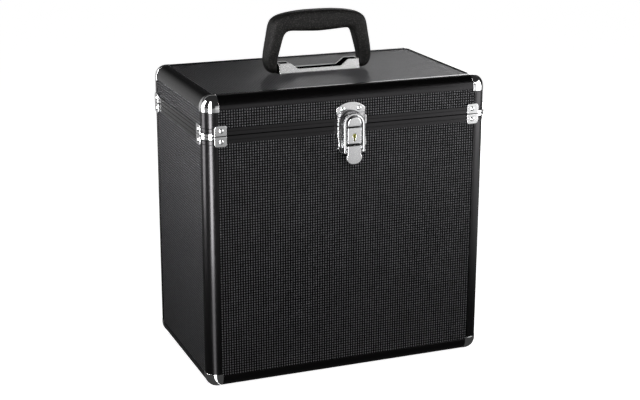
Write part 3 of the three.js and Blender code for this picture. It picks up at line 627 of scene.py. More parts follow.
def dot_sheet_tree():
    """A square grid of low four-sided pips, rising along z."""
    graph, entry = geometry_tree("raised_dots", {
        "Columns": "Int",
        "Rows": "Int",
        "Pitch": "Float",
        "Base Width": "Float",
        "Top Width": "Float",
        "Stretch": "Float",
        "Height": "Float",
        "Material": "Material",
    })
    grid = graph.flow("GeometryNodeMeshGrid", "Mesh", {
        "Size X": (entry["Columns"] - 1.0) * entry["Pitch"],
        "Size Y": (entry["Rows"] - 1.0) * entry["Pitch"],
        "Vertices X": entry["Columns"],
        "Vertices Y": entry["Rows"],
    })
    half_diagonal = math.sqrt(0.5)
    pip = graph.flow("GeometryNodeMeshCone", "Mesh", {
        "Vertices": 4,
        "Radius Top": entry["Top Width"] * half_diagonal,
        "Radius Bottom": entry["Base Width"] * half_diagonal,
        "Depth": entry["Height"],
    })
    square = graph.flow("GeometryNodeTransform", 0, {"Geometry": pip, "Rotation": (0, 0, QUARTER / 2)})
    scale = graph.flow("ShaderNodeCombineXYZ", 0, {"X": 1.0, "Y": entry["Stretch"], "Z": 1.0})
    square = graph.flow("GeometryNodeTransform", 0, {"Geometry": square, "Scale": scale})
    dots = graph.flow("GeometryNodeInstanceOnPoints", 0, {"Points": grid, "Instance": square})
    return close_tree(graph, dots, entry["Material"])


def rivet_tree():
    """Rivet heads on points: a flat dome with a shallow dimple, facing the way each point says."""
    graph, entry = geometry_tree("rivet_heads", {
        "Geometry": "Geometry",
        "Radius": "Float",
        "Rise": "Float",
        "Sink": "Float",
        "Material": "Material",
    })
    ball_inputs = {"Segments": 24, "Rings": 18, "Radius": entry["Radius"]}
    ball = graph.flow("GeometryNodeMeshUVSphere", "Mesh", ball_inputs)
    x, y, z = graph.flow("GeometryNodeInputPosition", 0).split()
    share = ((x * x + y * y) ** 0.5) / entry["Radius"]
    dome = entry["Rise"] * (1.0 - share ** 4.0)
    dimple_width = 0.42
    dimple_depth = 0.45
    dimple = entry["Rise"] * dimple_depth * (1.0 - (share / dimple_width) ** 2.0).most(0.0)
    above = z > 0.0
    height = above * (dome - dimple) - (1.0 - above) * entry["Sink"]
    shaped_place = graph.flow("ShaderNodeCombineXYZ", 0, {"X": x, "Y": y, "Z": height})
    head = graph.flow("GeometryNodeSetPosition", 0, {"Geometry": ball, "Position": shaped_place})
    vector_type = {"data_type": "FLOAT_VECTOR"}
    facing = graph.flow("GeometryNodeInputNamedAttribute", "Attribute", {"Name": "facing"}, vector_type)
    turn = graph.flow("FunctionNodeAlignRotationToVector", 0, {"Vector": facing}, {"axis": "Z"})
    heads = graph.flow("GeometryNodeInstanceOnPoints", 0, {
        "Points": entry["Geometry"],
        "Instance": head,
        "Rotation": turn,
    })
    return close_tree(graph, heads, entry["Material"])


def grown(name, host_mesh, tree, values):
    """Runs a geometry tree on an object and keeps its result as a plain mesh."""
    obj = placed(name, host_mesh)
    modifier = obj.modifiers.new("grow", "NODES")
    modifier.node_group = tree
    for socket in tree.interface.items_tree:
        if socket.in_out == "INPUT" and socket.name in values:
            modifier[socket.identifier] = values[socket.name]
    result = evaluated_mesh(obj)
    obj.modifiers.clear()
    obj.data = result
    bpy.data.meshes.remove(host_mesh)
    return obj


dot_pitch = 3.1 * MM
dot_base = 1.4 * MM
dot_top = 0.9 * MM
dot_stretch = 1.3
dot_rise = 0.24 * MM
dot_sink = 0.1 * MM
raised_dots = dot_sheet_tree()


def dot_sheet(node, body, outward, margin_low, margin_high):
    """The dots of one panel, centred between the profiles that frame it."""
    low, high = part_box(node)
    axis = max(range(3), key=lambda i: abs(outward[i]))
    u_axis = 1 if axis == 0 else 0
    v_axis = 1 if axis == 2 else 2
    spans = []
    centre = Vector()
    for i in (u_axis, v_axis):
        start = low[i] + margin_low[i]
        end = high[i] - margin_high[i]
        spans.append(end - start)
        centre[i] = (start + end) / 2
    face = high[axis] if outward[axis] > 0 else low[axis]
    centre[axis] = face + outward[axis] * (dot_rise - dot_sink) / 2
    host = bpy.data.meshes.new("dots")
    sheet = grown(node + "_dots", host, raised_dots, {
        "Columns": int((spans[0] - dot_base) / dot_pitch) + 1,
        "Rows": int((spans[1] - dot_base) / dot_pitch) + 1,
        "Pitch": dot_pitch,
        "Base Width": dot_base,
        "Top Width": dot_top,
        "Stretch": dot_stretch,
        "Height": dot_rise + dot_sink,
        "Material": laminate_dots,
    })
    u = (X, Y, Z)[u_axis]
    v = outward.cross(u)
    sheet.data.transform(basis(centre, u, v, outward))
    sheet.data.shade_smooth()
    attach(sheet, body)


def dress_panels():
    """Laminate on every panel, and its raised dots on the outside."""
    lip = flange - (low_of("body_front_panel").x + half_width)
    rim_cover_body = high_of("body_front_panel").z - body_rim_low
    rim_cover_lid = lid_rim_top - low_of("lid_front_panel").z
    covers = {"body": (lip, rim_cover_body), "lid": (rim_cover_lid, lip)}
    for half, (low_cover, high_cover) in covers.items():
        for side, outward in (("front", -Y), ("back", Y), ("left", -X), ("right", X)):
            margins = Vector((lip, lip, low_cover)), Vector((lip, lip, high_cover))
            dot_sheet(f"{half}_{side}_panel", half, outward, *margins)
    flat = Vector((lip, lip, 0))
    dot_sheet("body_bottom_panel", "body", -Z, flat, flat)
    dot_sheet("lid_top_panel", "lid", Z, flat, flat)
    for name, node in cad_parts.items():
        if name.endswith("_panel"):
            for slot in node.material_slots:
                slot.material = laminate_black


# Profiles, corners and rims

def profile_section():
    """Half-moon edge profile, measured inwards from the two outer planes that it joins."""
    r = profile_radius
    lip = profile_lip
    return [
        *arc(flange - lip, lip, lip, 0, -QUARTER, 3),
        *arc(r, r, r, 3 * QUARTER, 2 * QUARTER, 20),
        *arc(lip, flange - lip, lip, 2 * QUARTER, QUARTER, 3),
        (profile_wall, flange),
        (profile_wall, slot_edge),
        (slot_inner, slot_edge),
        (slot_inner, inner_reach),
        (inner_face, inner_reach),
        (inner_face, inner_face),
        (inner_reach, inner_face),
        (inner_reach, slot_inner),
        (slot_edge, slot_inner),
        (slot_edge, profile_wall),
        (flange, profile_wall),
    ]


def edge_profile(name, body, inward_a, inward_b, along, material):
    """One edge profile in the place of its node, over its node's length."""
    low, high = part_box(name)
    origin = Vector()
    length = 0
    for i in range(3):
        if abs(along[i]) > 0.5:
            origin[i] = low[i]
            length = high[i] - low[i]
        else:
            inward = inward_a[i] + inward_b[i]
            origin[i] = low[i] if inward > 0 else high[i]
    section = pressed(profile_section(), 0, length, 0.08 * MM)
    parts = [(section, basis(origin, inward_a, inward_b, along))]
    piece(name + "_profile", parts, body, material, [name], 35)


def dress_profiles():
    for end, body, inward_z in ends:
        edge_profile(f"{end}_edge_front", body, Y, inward_z, X, anodised_x)
        edge_profile(f"{end}_edge_back", body, -Y, inward_z, X, anodised_x)
        edge_profile(f"{end}_edge_left", body, X, inward_z, Y, anodised_y)
        edge_profile(f"{end}_edge_right", body, -X, inward_z, Y, anodised_y)
    for place, inward_x, inward_y, _ in uprights:
        edge_profile(f"body_post_{place}", "body", inward_x, inward_y, Z, anodised_z)
        edge_profile(f"lid_post_{place}", "lid", inward_x, inward_y, Z, anodised_z)


def ball_cap():
    """Ball corner in its own frame: a pressed shell over the outer corner at zero."""
    reach = corner_reach
    whole = bmesh.new()
    bmesh.ops.create_cube(whole, size=reach, matrix=Matrix.Translation((reach / 2,) * 3))
    tip = min(whole.verts, key=lambda v: v.co.length)
    bmesh.ops.bevel(
        whole,
        geom=list(tip.link_edges),
        offset=profile_radius,
        segments=14,
        profile=0.5,
        affect="EDGES",
        clamp_overlap=False,
    )
    open_faces = [f for f in whole.faces if max(f.normal) > 0.99]
    bmesh.ops.delete(whole, geom=open_faces, context="FACES")
    bmesh.ops.recalc_face_normals(whole, faces=whole.faces)
    if sum(f.normal.dot(f.calc_center_median() - Vector((reach,) * 3)) for f in whole.faces) < 0:
        bmesh.ops.reverse_faces(whole, faces=whole.faces)
    mesh = bpy.data.meshes.new("cap")
    whole.to_mesh(mesh)
    whole.free()
    obj = placed("cap", mesh)
    share_outside = 0.2
    wall = obj.modifiers.new("wall", "SOLIDIFY")
    wall.thickness = 1.2 * MM
    wall.offset = -1 + 2 * share_outside
    wall.use_even_offset = True
    rim = obj.modifiers.new("rim", "BEVEL")
    rim.width = 0.3 * MM
    rim.segments = 3
    rim.limit_method = "ANGLE"
    rim.angle_limit = math.radians(50)
    finished = evaluated_mesh(obj)
    bpy.data.objects.remove(obj)
    bpy.data.meshes.remove(mesh)
    return finished


def dress_corners():
    cap = ball_cap()
    for end, body, inward_z in ends:
        height = case_low.z if inward_z.z > 0 else case_high.z
        for place, inward_x, inward_y, spot in uprights:
            matrix = basis(spot + Z * height, inward_x, inward_y, inward_z)
            node = f"{end}_corner_{place}"
            piece(node + "_cap", [(cap.copy(), matrix)], body, chrome, [node], 60)


groove_depth = 0.6 * MM
groove_height = 0.9 * MM
rim_edge = 0.3 * MM


def rim_rail(half, low, high, groove, inner_low, inner_high):
    """The rim of one half, with a groove outside; inner_low and inner_high close its section."""
    near = groove - groove_height / 2
    far = groove + groove_height / 2
    section = [
        (rim_edge, low),
        (0, low + rim_edge),
        (0, near - rim_edge / 2),
        (rim_edge / 2, near),
        (groove_depth, near),
        (groove_depth, far),
        (rim_edge / 2, far),
        (0, far + rim_edge / 2),
        (0, high - rim_edge),
        (rim_edge, high),
        *inner_high,
        *inner_low,
    ]
    parts = [(swept_rim(section), UNMOVED)]
    piece(f"{half}_rim_rail", parts, half, anodised_rim, [f"{half}_rim_frame"], 35)


def dress_rims():
    """The two rims that meet at the seam; the body's carries a tongue that locates the lid."""
    tongue_out = 4.9 * MM
    tongue_in = 6.5 * MM
    tongue_top = high_of("body_rim_frame").z
    web = body_rim_top - 3.2 * MM
    inner_high = [
        (tongue_out, body_rim_top),
        (tongue_out, tongue_top - rim_edge),
        (tongue_out + rim_edge, tongue_top),
        (tongue_in - rim_edge, tongue_top),
        (tongue_in, tongue_top - rim_edge),
        (tongue_in, body_rim_top),
        (inner_face, body_rim_top - rim_edge),
        (inner_face, body_rim_low),
    ]
    inner_low = [
        (slot_inner, body_rim_low),
        (slot_inner, web),
        (profile_wall, web),
        (profile_wall, body_rim_low),
    ]
    rim_rail("body", body_rim_low, body_rim_top, seam - 5 * MM, inner_low, inner_high)
    slot_floor = low_of("lid_front_panel").z - 0.3 * MM
    bridge = slot_floor - 1 * MM
    skirt_in = tongue_out - 0.3 * MM
    inner_high = [
        (profile_wall, lid_rim_top),
        (profile_wall, slot_floor),
        (slot_inner, slot_floor),
        (slot_inner, lid_rim_top),
        (inner_face, lid_rim_top),
    ]
    inner_low = [(inner_face, bridge), (skirt_in, bridge), (skirt_in, lid_rim_low)]
    rim_rail("lid", lid_rim_low, lid_rim_top, seam + 5.2 * MM, inner_low, inner_high)


# Seam brackets

bracket_gap = 0.3 * MM
bracket_sheet = 1.2 * MM
bracket_near = 11.5 * MM
bracket_far = 26 * MM
bracket_ear = 12 * MM
bracket_strap = 3.0 * MM
bracket_corner = 2.6 * MM
bracket_rivet_in = 19.4 * MM
rivet_points = {"body": [], "lid": []}


def seam_bracket_parts():
    """The strap and the two ears of a bracket, in its corner frame, z away from the seam."""
    outer = -bracket_gap - bracket_sheet
    r = profile_radius
    end = r + 1.5 * MM
    sink = 0.25 * MM
    strap = [
        *arc(r, r, r - outer, 2 * QUARTER, 3 * QUARTER, 16),
        (end, outer + sink),
        (end, -bracket_gap),
        *arc(r, r, r + bracket_gap, 3 * QUARTER, 2 * QUARTER, 16),
        (-bracket_gap, end),
        (outer + sink, end),
    ]
    ear = rounded([
        (bracket_near, 0, 0.5 * MM),
        (bracket_far, 0, 0.8 * MM),
        (bracket_far, bracket_ear, bracket_corner),
        (bracket_near, bracket_ear, 4.5 * MM),
    ])
    edge = 0.35 * MM
    return [
        (pressed(strap, 0, bracket_strap, edge), UNMOVED),
        (pressed(ear, 0, bracket_sheet, edge), basis((0, outer, 0), X, Z, Y)),
        (pressed(ear, 0, bracket_sheet, edge), basis((outer, 0, 0), Y, Z, X)),
    ]


def dress_brackets():
    outer = bracket_gap + bracket_sheet
    for half, height, away in (("body", body_rim_top, -Z), ("lid", lid_rim_low, Z)):
        for place, inward_x, inward_y, spot in uprights:
            origin = spot + Z * height
            matrix = basis(origin, inward_x, inward_y, away)
            parts = [(mesh, matrix @ own) for mesh, own in seam_bracket_parts()]
            node = f"{half}_bracket_{place}"
            piece(node + "_pressing", parts, half, chrome, [node])
            rise = away * bracket_ear / 2
            for inward, outward in ((inward_x, -inward_y), (inward_y, -inward_x)):
                rivet = origin + inward * bracket_rivet_in + outward * outer + rise
                rivet_points[half].append((rivet, outward))


# Draw latch; outlines are drawn in x and in height above the seam, depths are out from the front

half_seam = seam - body_rim_top
latch_gap = 0.3 * MM
plate_edge = 0.4 * MM
pin_middle = (low_of("latch_lever_pin") + high_of("latch_lever_pin")) / 2
pin_out = front - pin_middle.y
pin_drop = seam - pin_middle.z
loop_out = pin_out - 1 * MM
loop_drop = pin_drop + 6 * MM
cylinder_drop = 11 * MM
cheek_wall = 1.8 * MM
front_basis = basis((0, front, seam), X, Z, -Y)
side_basis = basis((0, front, seam), -Y, Z, X)


def front_plate(outline, out_low, out_high, edge=plate_edge, holes=()):
    """A latch plate that faces the front."""
    return pressed(outline, out_low, out_high, edge, holes), front_basis


def side_pair(outline, inner, outer, edge=plate_edge):
    """Two latch plates that face sideways, drawn in distance out and height."""
    return [(pressed(outline, low, high, edge), side_basis) for low, high in mirrored_spans(inner, outer)]


def along_x(mesh, y, z):
    """A part laid along x at a place in y and z."""
    return mesh, basis((0, y, z), Y, Z, X)


def dress_keeper():
    """Keeper on the lid: a crowned plate that steps out over the rim, side flanges and the hook."""
    high = high_of("latch_keeper")
    half = high.x
    crown = high.z - seam
    rise = 7.4 * MM
    radius = (half * half + rise * rise) / (2 * rise)
    spread = math.asin(half / radius)
    crown_arc = arc(0, crown - radius, radius, QUARTER - spread, QUARTER + spread, 28)
    plate_low = lid_rim_top - seam + latch_gap
    crease = lid_rim_top - seam + 5.7 * MM
    back_out = latch_gap - panel_recess
    front_out = back_out + 1.9 * MM
    step_front = latch_gap + 1.6 * MM
    flange_reach = 5 * MM
    side_flange = rounded([
        (latch_gap, half_seam),
        (flange_reach, half_seam, 1.2 * MM),
        (flange_reach, crease - 3.5 * MM, 2 * MM),
        (step_front, crease - 0.6 * MM, 1 * MM),
        (latch_gap, crease - 0.6 * MM),
    ])
    hook = [
        (-lock_half, half_seam),
        (lock_half, half_seam),
        *arc(0, hook_centre, lock_half, 0, 2 * QUARTER, 28),
    ]
    step = rectangle(-half, half, half_seam, crease, 0.6 * MM, 1.2 * MM)
    parts = [
        front_plate([(-half, plate_low), (half, plate_low), *crown_arc], back_out, front_out, 0.5 * MM),
        front_plate(step, latch_gap, step_front),
        *side_pair(side_flange, half - 1.6 * MM, half),
        front_plate(hook, latch_gap, latch_reach, 0.9 * MM),
    ]
    piece("latch_keeper_plate", parts, "lid", latch_plate, ["latch_keeper"])
    for rivet_x in (-10.2 * MM, 10.2 * MM):
        spot = Vector((rivet_x, front - front_out, high.z - rise - 0.6 * MM))
        rivet_points["lid"].append((spot, -Y))


def keyhole(drop):
    """A round hole with a straight stem below it."""
    radius = 2.4 * MM
    half_stem = 1.3 * MM
    stem = 6.2 * MM
    meet = math.asin(half_stem / radius)
    tail = rounded([
        (-half_stem, -drop - radius, 0),
        (-half_stem, -drop - stem),
        (half_stem, -drop - stem),
        (half_stem, -drop - radius, 0),
    ], 0.6 * MM, 3)
    return [*arc(0, -drop, radius, meet - QUARTER, 3 * QUARTER - meet, 20), *tail]


def dress_latch_base():
    """Base plate on the body: tapered foot, low side walls, the axle's ears and the lock housing."""
    low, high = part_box("latch_base")
    half = high.x
    taper = -pin_drop - 2 * MM
    plate_front = latch_gap + 1.2 * MM
    foot = [(11.6 * MM, low.z - seam, 1.5 * MM), (half, taper, 1.5 * MM)]
    upper = rounded(both_sides([*foot, (half, -half_seam, 0.4 * MM)]))
    seat = rounded(both_sides([*foot, (half, body_rim_low - seam - latch_gap, 0.4 * MM)]))
    reach = 3.5 * MM
    bulge = 6.5 * MM
    wall = rounded([
        (latch_gap, taper),
        (bulge, taper + 1.5 * MM, 2 * MM),
        (bulge, -pin_drop + 4 * MM, 2.5 * MM),
        (reach, -12 * MM, 3 * MM),
        (reach, -half_seam, 1 * MM),
        (latch_gap, -half_seam),
    ])
    ear = 2.4 * MM
    ear_in = lever_half + 0.2 * MM
    ear_out = ear_in + 1.3 * MM
    ear_outline = [
        (plate_front, -pin_drop + ear),
        (plate_front, -pin_drop - ear),
        *arc(pin_out, -pin_drop, ear, -QUARTER, QUARTER, 12),
    ]
    housing_top = -0.8 * MM
    housing_low = -19.9 * MM
    housing = rectangle(-lock_half, lock_half, housing_low, housing_top, 0.9 * MM)
    hole = keyhole(cylinder_drop - 0.6 * MM)
    skin = 1.2 * MM
    skin_edge = 0.1 * MM
    sunk = 0.15 * MM
    deep = latch_reach - plate_edge
    narrow = lock_half - plate_edge
    side = rectangle(plate_front, deep, housing_low + plate_edge, housing_top - plate_edge)
    parts = [
        front_plate(upper, latch_gap, plate_front),
        front_plate(seat, latch_gap - panel_recess, plate_front - 0.4 * MM, 0.3 * MM),
        *side_pair(wall, half - 1.5 * MM, half),
        *side_pair(ear_outline, ear_in, ear_out, 0.3 * MM),
        front_plate(housing, latch_reach - skin, latch_reach, 0.5 * MM, [hole]),
        *side_pair(side, lock_half - skin, lock_half - sunk, skin_edge),
    ]
    for end_low in (housing_low, housing_top - skin):
        end = rectangle(-narrow, narrow, end_low, end_low + skin)
        parts.append(front_plate(end, plate_front, deep, skin_edge))
    piece("latch_base_plate", parts, "body", latch_plate, ["latch_base"])
    half_pin = ear_out + 0.15 * MM
    bar = along_x(pin(1 * MM, -half_pin, half_pin, 0.3 * MM, 20), pin_middle.y, pin_middle.z)
    piece("latch_lever_axle", [bar], "body", plated_steel, ["latch_lever_pin"])


def dress_lock():
    """Brass lock cylinder behind the keyhole, with its keyway and its cam."""
    low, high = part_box("lock_cylinder")
    height = seam - cylinder_drop
    depth = 3.4 * MM
    half_way = 1.1 * MM
    way = rectangle(-half_way, half_way, -5.2 * MM, 1.2 * MM, 0.4 * MM, steps=3)
    hub = pin(3 * MM, 0, high.y - low.y - depth - 1 * MM, 0.2 * MM, 24)
    cam_half = 1.5 * MM
    cam = rectangle(-cam_half, high.x, -cam_half, cam_half, 1 * MM)
    parts = [
        (pressed(circle(-low.x, 48), -depth, 0, 0.3 * MM, [way]), basis((0, low.y, height), X, Z, -Y)),
        (hub, basis((0, low.y + depth - 0.4 * MM, height), X, -Z, Y)),
        (pressed(cam, 0, 1.5 * MM, 0.2 * MM), basis((0, high.y, height), X, Z, -Y)),
    ]
    piece("lock_cylinder_turned", parts, "lock", brass, ["lock_cylinder"])


def dress_lever():
    """The tongue that is pulled: straight, then flared to a round end, on two cheeks."""
    low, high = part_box("latch_lever")
    half_wide = high.x
    straight = -loop_drop - 1.5 * MM
    wide = straight - 4.4 * MM
    tall = wide - (low.z - seam)
    end = [(half_wide * x, wide + tall * y) for x, y in arc(0, 0, 1, 2 * QUARTER, 4 * QUARTER, 28)]
    flare = rounded(both_sides([
        (half_wide, wide),
        (lever_half, straight, 4 * MM),
        (lever_half, high.z - seam, 0.8 * MM),
    ]))
    sheet = 1.5 * MM
    boss = 2.2 * MM
    ear = 2.4 * MM
    cheek = [
        (latch_reach - sheet / 2, boss - pin_drop),
        *arc(pin_out, -pin_drop, boss, QUARTER, 2 * QUARTER, 8),
        *arc(loop_out, -loop_drop, ear, 2 * QUARTER, 3 * QUARTER, 8),
        (latch_reach - sheet / 2, -loop_drop - ear),
    ]
    parts = [
        front_plate([*end, *flare[1:-1]], latch_reach - sheet, latch_reach, 0.55 * MM),
        *side_pair(cheek, lever_half - cheek_wall, lever_half, 0.3 * MM),
    ]
    piece("latch_lever_tongue", parts, "latch_lever", latch_plate, ["latch_lever"])


def dress_loop():
    """The loop: a rounded bar bent over an arch, leaning in to the hook, with ears and pins."""
    outer = high_of("latch_loop").x + 0.7 * MM
    bar = 3.2 * MM
    inner = outer - bar
    bend = outer - bar / 2
    deep = 4.4 * MM
    groove = 0.6 * MM
    groove_share = 0.6
    arch = hook_top + 0.9 * MM - inner
    back_out = pin_out + 1.35 * MM
    front_out = back_out + 2 * MM
    leg_end = 1.2 * MM - loop_drop
    # The bar's section rides along the bow: deeper than it is wide, with a groove along its front
    path = [(-bend, leg_end), *arc(0, arch, bend, 2 * QUARTER, 0, 40), (bend, leg_end)]
    rings = []
    for i, (x, z) in enumerate(path):
        before = Vector(path[max(i - 1, 0)])
        after = Vector(path[min(i + 1, len(path) - 1)])
        along = (after - before).normalized()
        ring = []
        for c, s in circle(1, 20):
            wide = squarish(c, 0.55) * bar / 2
            thick = squarish(s, 0.75) * deep / 2
            if s > 0:
                thick -= groove * max(0, 1 - (c / groove_share) ** 2)
            ring.append((x + along.y * wide, z - along.x * wide, front_out - deep / 2 + thick))
        rings.append(ring)
    lean = math.atan2(1.2 * MM, hook_top + pin_drop)
    tilt = Matrix.Translation((0, -pin_drop, back_out)) @ Matrix.Rotation(-lean, 4, "X")
    tilt = tilt @ Matrix.Translation((0, pin_drop, -back_out))
    ear = 2.4 * MM
    ear_outline = rounded([
        (front_out, leg_end + ear),
        (back_out, leg_end + ear),
        *arc(loop_out, -loop_drop, ear, QUARTER, 3 * QUARTER, 10),
        (front_out, leg_end - ear / 2, 2.4 * MM),
    ])
    parts = [(lofted(rings), front_basis @ tilt), *side_pair(ear_outline, inner, outer, 0.8 * MM)]
    for near, far in mirrored_spans(lever_half - cheek_wall, outer):
        parts.append(along_x(pin(1.1 * MM, near, far, 0.2 * MM, 20), front - loop_out, seam - loop_drop))
    piece("latch_loop_bow", parts, "latch_loop", latch_plate, ["latch_loop"])


# Handle

def dress_handle_bracket():
    """Channel on the top panel: two walls with raised ears, a flanged floor, ends and pins."""
    depth = channel_depth
    ear = channel_ear
    sheet = channel_sheet
    half = channel_half
    bend = 5 * MM
    wall = rounded(both_sides([
        (half, 0, 0.5 * MM),
        (half, ear, 0.8 * MM),
        (channel_ear_in, ear, bend / 2),
        (channel_middle, channel_rise, bend),
    ]))
    foot = depth + channel_flange
    floor = rectangle(-half, half, -foot, foot, 1.2 * MM)
    lean = Matrix.Rotation(math.atan(channel_lean), 4, "X")
    edge = 0.2 * MM
    centre = Vector((0, middle_y, channel_base))
    parts = [
        (pressed(wall, -sheet, 0, edge), basis(centre - Y * depth, X, Z, -Y) @ lean.inverted()),
        (pressed(wall, 0, sheet, edge), basis(centre + Y * depth, X, Z, -Y) @ lean),
        (pressed(floor, 0, sheet, edge), basis(centre, X, Y, Z)),
    ]
    lean_in = ear * channel_lean
    end = rounded([(-depth, 0), (depth, 0), (depth - lean_in, ear), (lean_in - depth, ear)], 0.8 * MM)
    pivot = channel_base + 9.2 * MM
    for side in (-1, 1):
        start = side * half - (sheet if side > 0 else 0)
        parts.append((pressed(end, 0, sheet, edge), basis(centre + X * start, Y, Z, X)))
        near, far = sorted((side * (half - sheet), side * (half + channel_pin)))
        parts.append(along_x(pin(2.4 * MM, near, far, 0.3 * MM), middle_y, pivot))
        spot = Vector((side * 22 * MM, middle_y, channel_base + sheet))
        rivet_points["lid"].append((spot, Z))
    piece("handle_bracket_channel", parts, "lid", channel_plate, ["handle_bracket"])


def spline(points, steps):
    """A smooth run of points through a few given ones; it starts level, on the mirror line."""
    padded = [(-points[1][0], points[1][1]), *points, points[-1]]
    made = []
    for i in range(1, len(padded) - 2):
        a, b, c, d = (Vector(padded[j]) for j in (i - 1, i, i + 1, i + 2))
        for step in range(steps):
            t = step / steps
            bend = 2 * b + (c - a) * t + (2 * a - 5 * b + 4 * c - d) * t * t
            made.append((bend + (3 * b - a - 3 * c + d) * t * t * t) / 2)
    made.append(Vector(points[-1]))
    return made


def even(points, count):
    """The same run of points, spaced evenly along its length."""
    lengths = [0.0]
    for a, b in zip(points, points[1:]):
        lengths.append(lengths[-1] + (b - a).length)
    made = []
    at = 0
    for i in range(count):
        wanted = lengths[-1] * i / (count - 1)
        while at < len(points) - 2 and lengths[at + 1] < wanted:
            at += 1
        span = lengths[at + 1] - lengths[at]
        t = (wanted - lengths[at]) / span if span else 0
        made.append(points[at].lerp(points[at + 1], min(t, 1)))
    return made


# Outline of the grip's right half, from its top centre down to its foot,
# as shares of its half width and of its height above the top panel
grip_outer_share = [
    (0, 1), (0.34, 0.992), (0.64, 0.955), (0.8, 0.9), (0.885, 0.8),
    (0.94, 0.55), (0.995, 0.28), (0.985, 0.15), (0.93, 0.05), (0.85, 0.012),
]
grip_inner_share = [
    (0, 1), (0.4, 1.02), (0.7, 1.035), (0.82, 0.975), (0.885, 0.83),
    (0.955, 0.55), (1, 0.3), (1, 0.06),
]


def dress_grip():
    """The grip: a rounded bow, deepest along the top, on two legs with round feet."""
    low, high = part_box("handle_grip")
    widest_share = 0.9976
    half = high.x / widest_share
    height = high.z - top_face
    leg_inner = half - 16.4 * MM
    underside = 49.4 * MM
    pivot = 9.5 * MM
    foot = 8.8 * MM
    full = (high.y - low.y) / 2
    taper_run = 30 * MM
    stations = 64
    outer = even(spline([(x * half, z * height) for x, z in grip_outer_share], 12), stations)
    inner = even(spline([(x * leg_inner, z * underside) for x, z in grip_inner_share], 12), stations)

    def half_depth_at(z):
        if z < pivot:
            return math.sqrt(max(foot * foot - (pivot - z) ** 2, (0.15 * foot) ** 2))
        t = min((z - pivot) / taper_run, 1)
        return foot + (full - foot) * t * t * (3 - 2 * t)

    def section(a, b):
        """A rounded section between an outer and an inner point."""
        centre = (a + b) / 2
        across = (b - a) / 2
        ring = []
        for c, s in circle(1, 40):
            point = centre + across * squarish(c, 0.62)
            ring.append((point.x, squarish(s, 0.6) * half_depth_at(point.y), point.y))
        return ring

    right_half = [section(b, a) for a, b in zip(outer, inner)]
    tip = right_half[-1]
    tip_centre = sum((Vector(p) for p in tip), Vector()) / len(tip)
    for shrink, drop in ((0.85, 0.25 * MM), (0.6, 0.42 * MM), (0.3, 0.5 * MM)):
        shrunk = [tip_centre.lerp(Vector(p), shrink) for p in tip]
        right_half.append([(point.x, point.y, point.z - drop) for point in shrunk])
    # A mirrored ring runs the same way round when its points keep their order
    left_half = [[(-x, y, z) for x, y, z in ring] for ring in reversed(right_half[1:])]
    parts = [(lofted(left_half + right_half), Matrix.Translation((0, middle_y, top_face)))]
    piece("handle_grip_bow", parts, "handle", grip_black, ["handle_grip"], 70)


# Hinges on the back

def dress_hinges():
    """Two butt hinges with rolled knuckles, round-edged pins and three rivets in each leaf."""
    inner = latch_gap
    outer = inner + 1.2 * MM
    middle = 10 * MM
    gap = 0.4 * MM
    for side in ("left", "right"):
        low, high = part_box(f"hinge_{side}_body_leaf")
        pin_low, pin_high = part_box(f"hinge_{side}_pin")
        axis = (pin_low + pin_high) / 2
        axis.x = (low.x + high.x) / 2
        along_axis = basis(axis, Y, Z, X)
        half = (high.x - low.x) / 2
        knuckle = high.y - axis.y
        start = knuckle + 0.5 * MM
        spans = {
            "body": mirrored_spans(middle + gap, half),
            "lid": [(-middle, middle)],
        }
        for leaf, away in (("body", -Z), ("lid", Z)):
            outline = rectangle(-half, half, start, axis.z - low.z, 0.5 * MM, 3 * MM)
            matrix = basis((axis.x, back, axis.z), X, away, Y)
            parts = [(pressed(outline, inner, outer, 0.3 * MM), matrix)]
            for near, far in spans[leaf]:
                neck = rectangle(near, far, 0.3 * MM, start + 1 * MM)
                parts.append((pressed(neck, inner, outer + 0.2 * MM, 0.2 * MM), matrix))
                parts.append((pin(knuckle, near, far, 0.35 * MM, 40), along_axis))
            node = f"hinge_{side}_{leaf}_leaf"
            piece(node + "_rolled", parts, leaf, plated_steel, [node])
            for x in (-16 * MM, 0, 16 * MM):
                spot = Vector((axis.x + x, back + outer, axis.z)) + away * 18 * MM
                rivet_points[leaf].append((spot, Y))
        length = (pin_high.x - pin_low.x) / 2
        bar = pin(1.5 * MM, -length, length, 0.5 * MM, 28)
        node = f"hinge_{side}_pin"
        piece(node + "_bar", [(bar, along_axis)], "body", plated_steel, [node])


def dress_rivets():
    """All rivet heads of each half, grown on their points."""
    tree = rivet_tree()
    for body, points in rivet_points.items():
        host = mesh_of([tuple(spot) for spot, _ in points], [])
        facing = host.attributes.new("facing", "FLOAT_VECTOR", "POINT")
        for i, (_, direction) in enumerate(points):
            facing.data[i].vector = direction
        rivets = grown(body + "_rivets", host, tree, {
            "Radius": 2.9 * MM,
            "Rise": 1.1 * MM,
            "Sink": 0.5 * MM,
            "Material": chrome,
        })
        rivets.data.shade_smooth()
        rivets.data.set_sharp_from_angle(angle=math.radians(60))
        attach(rivets, body)


# Linings

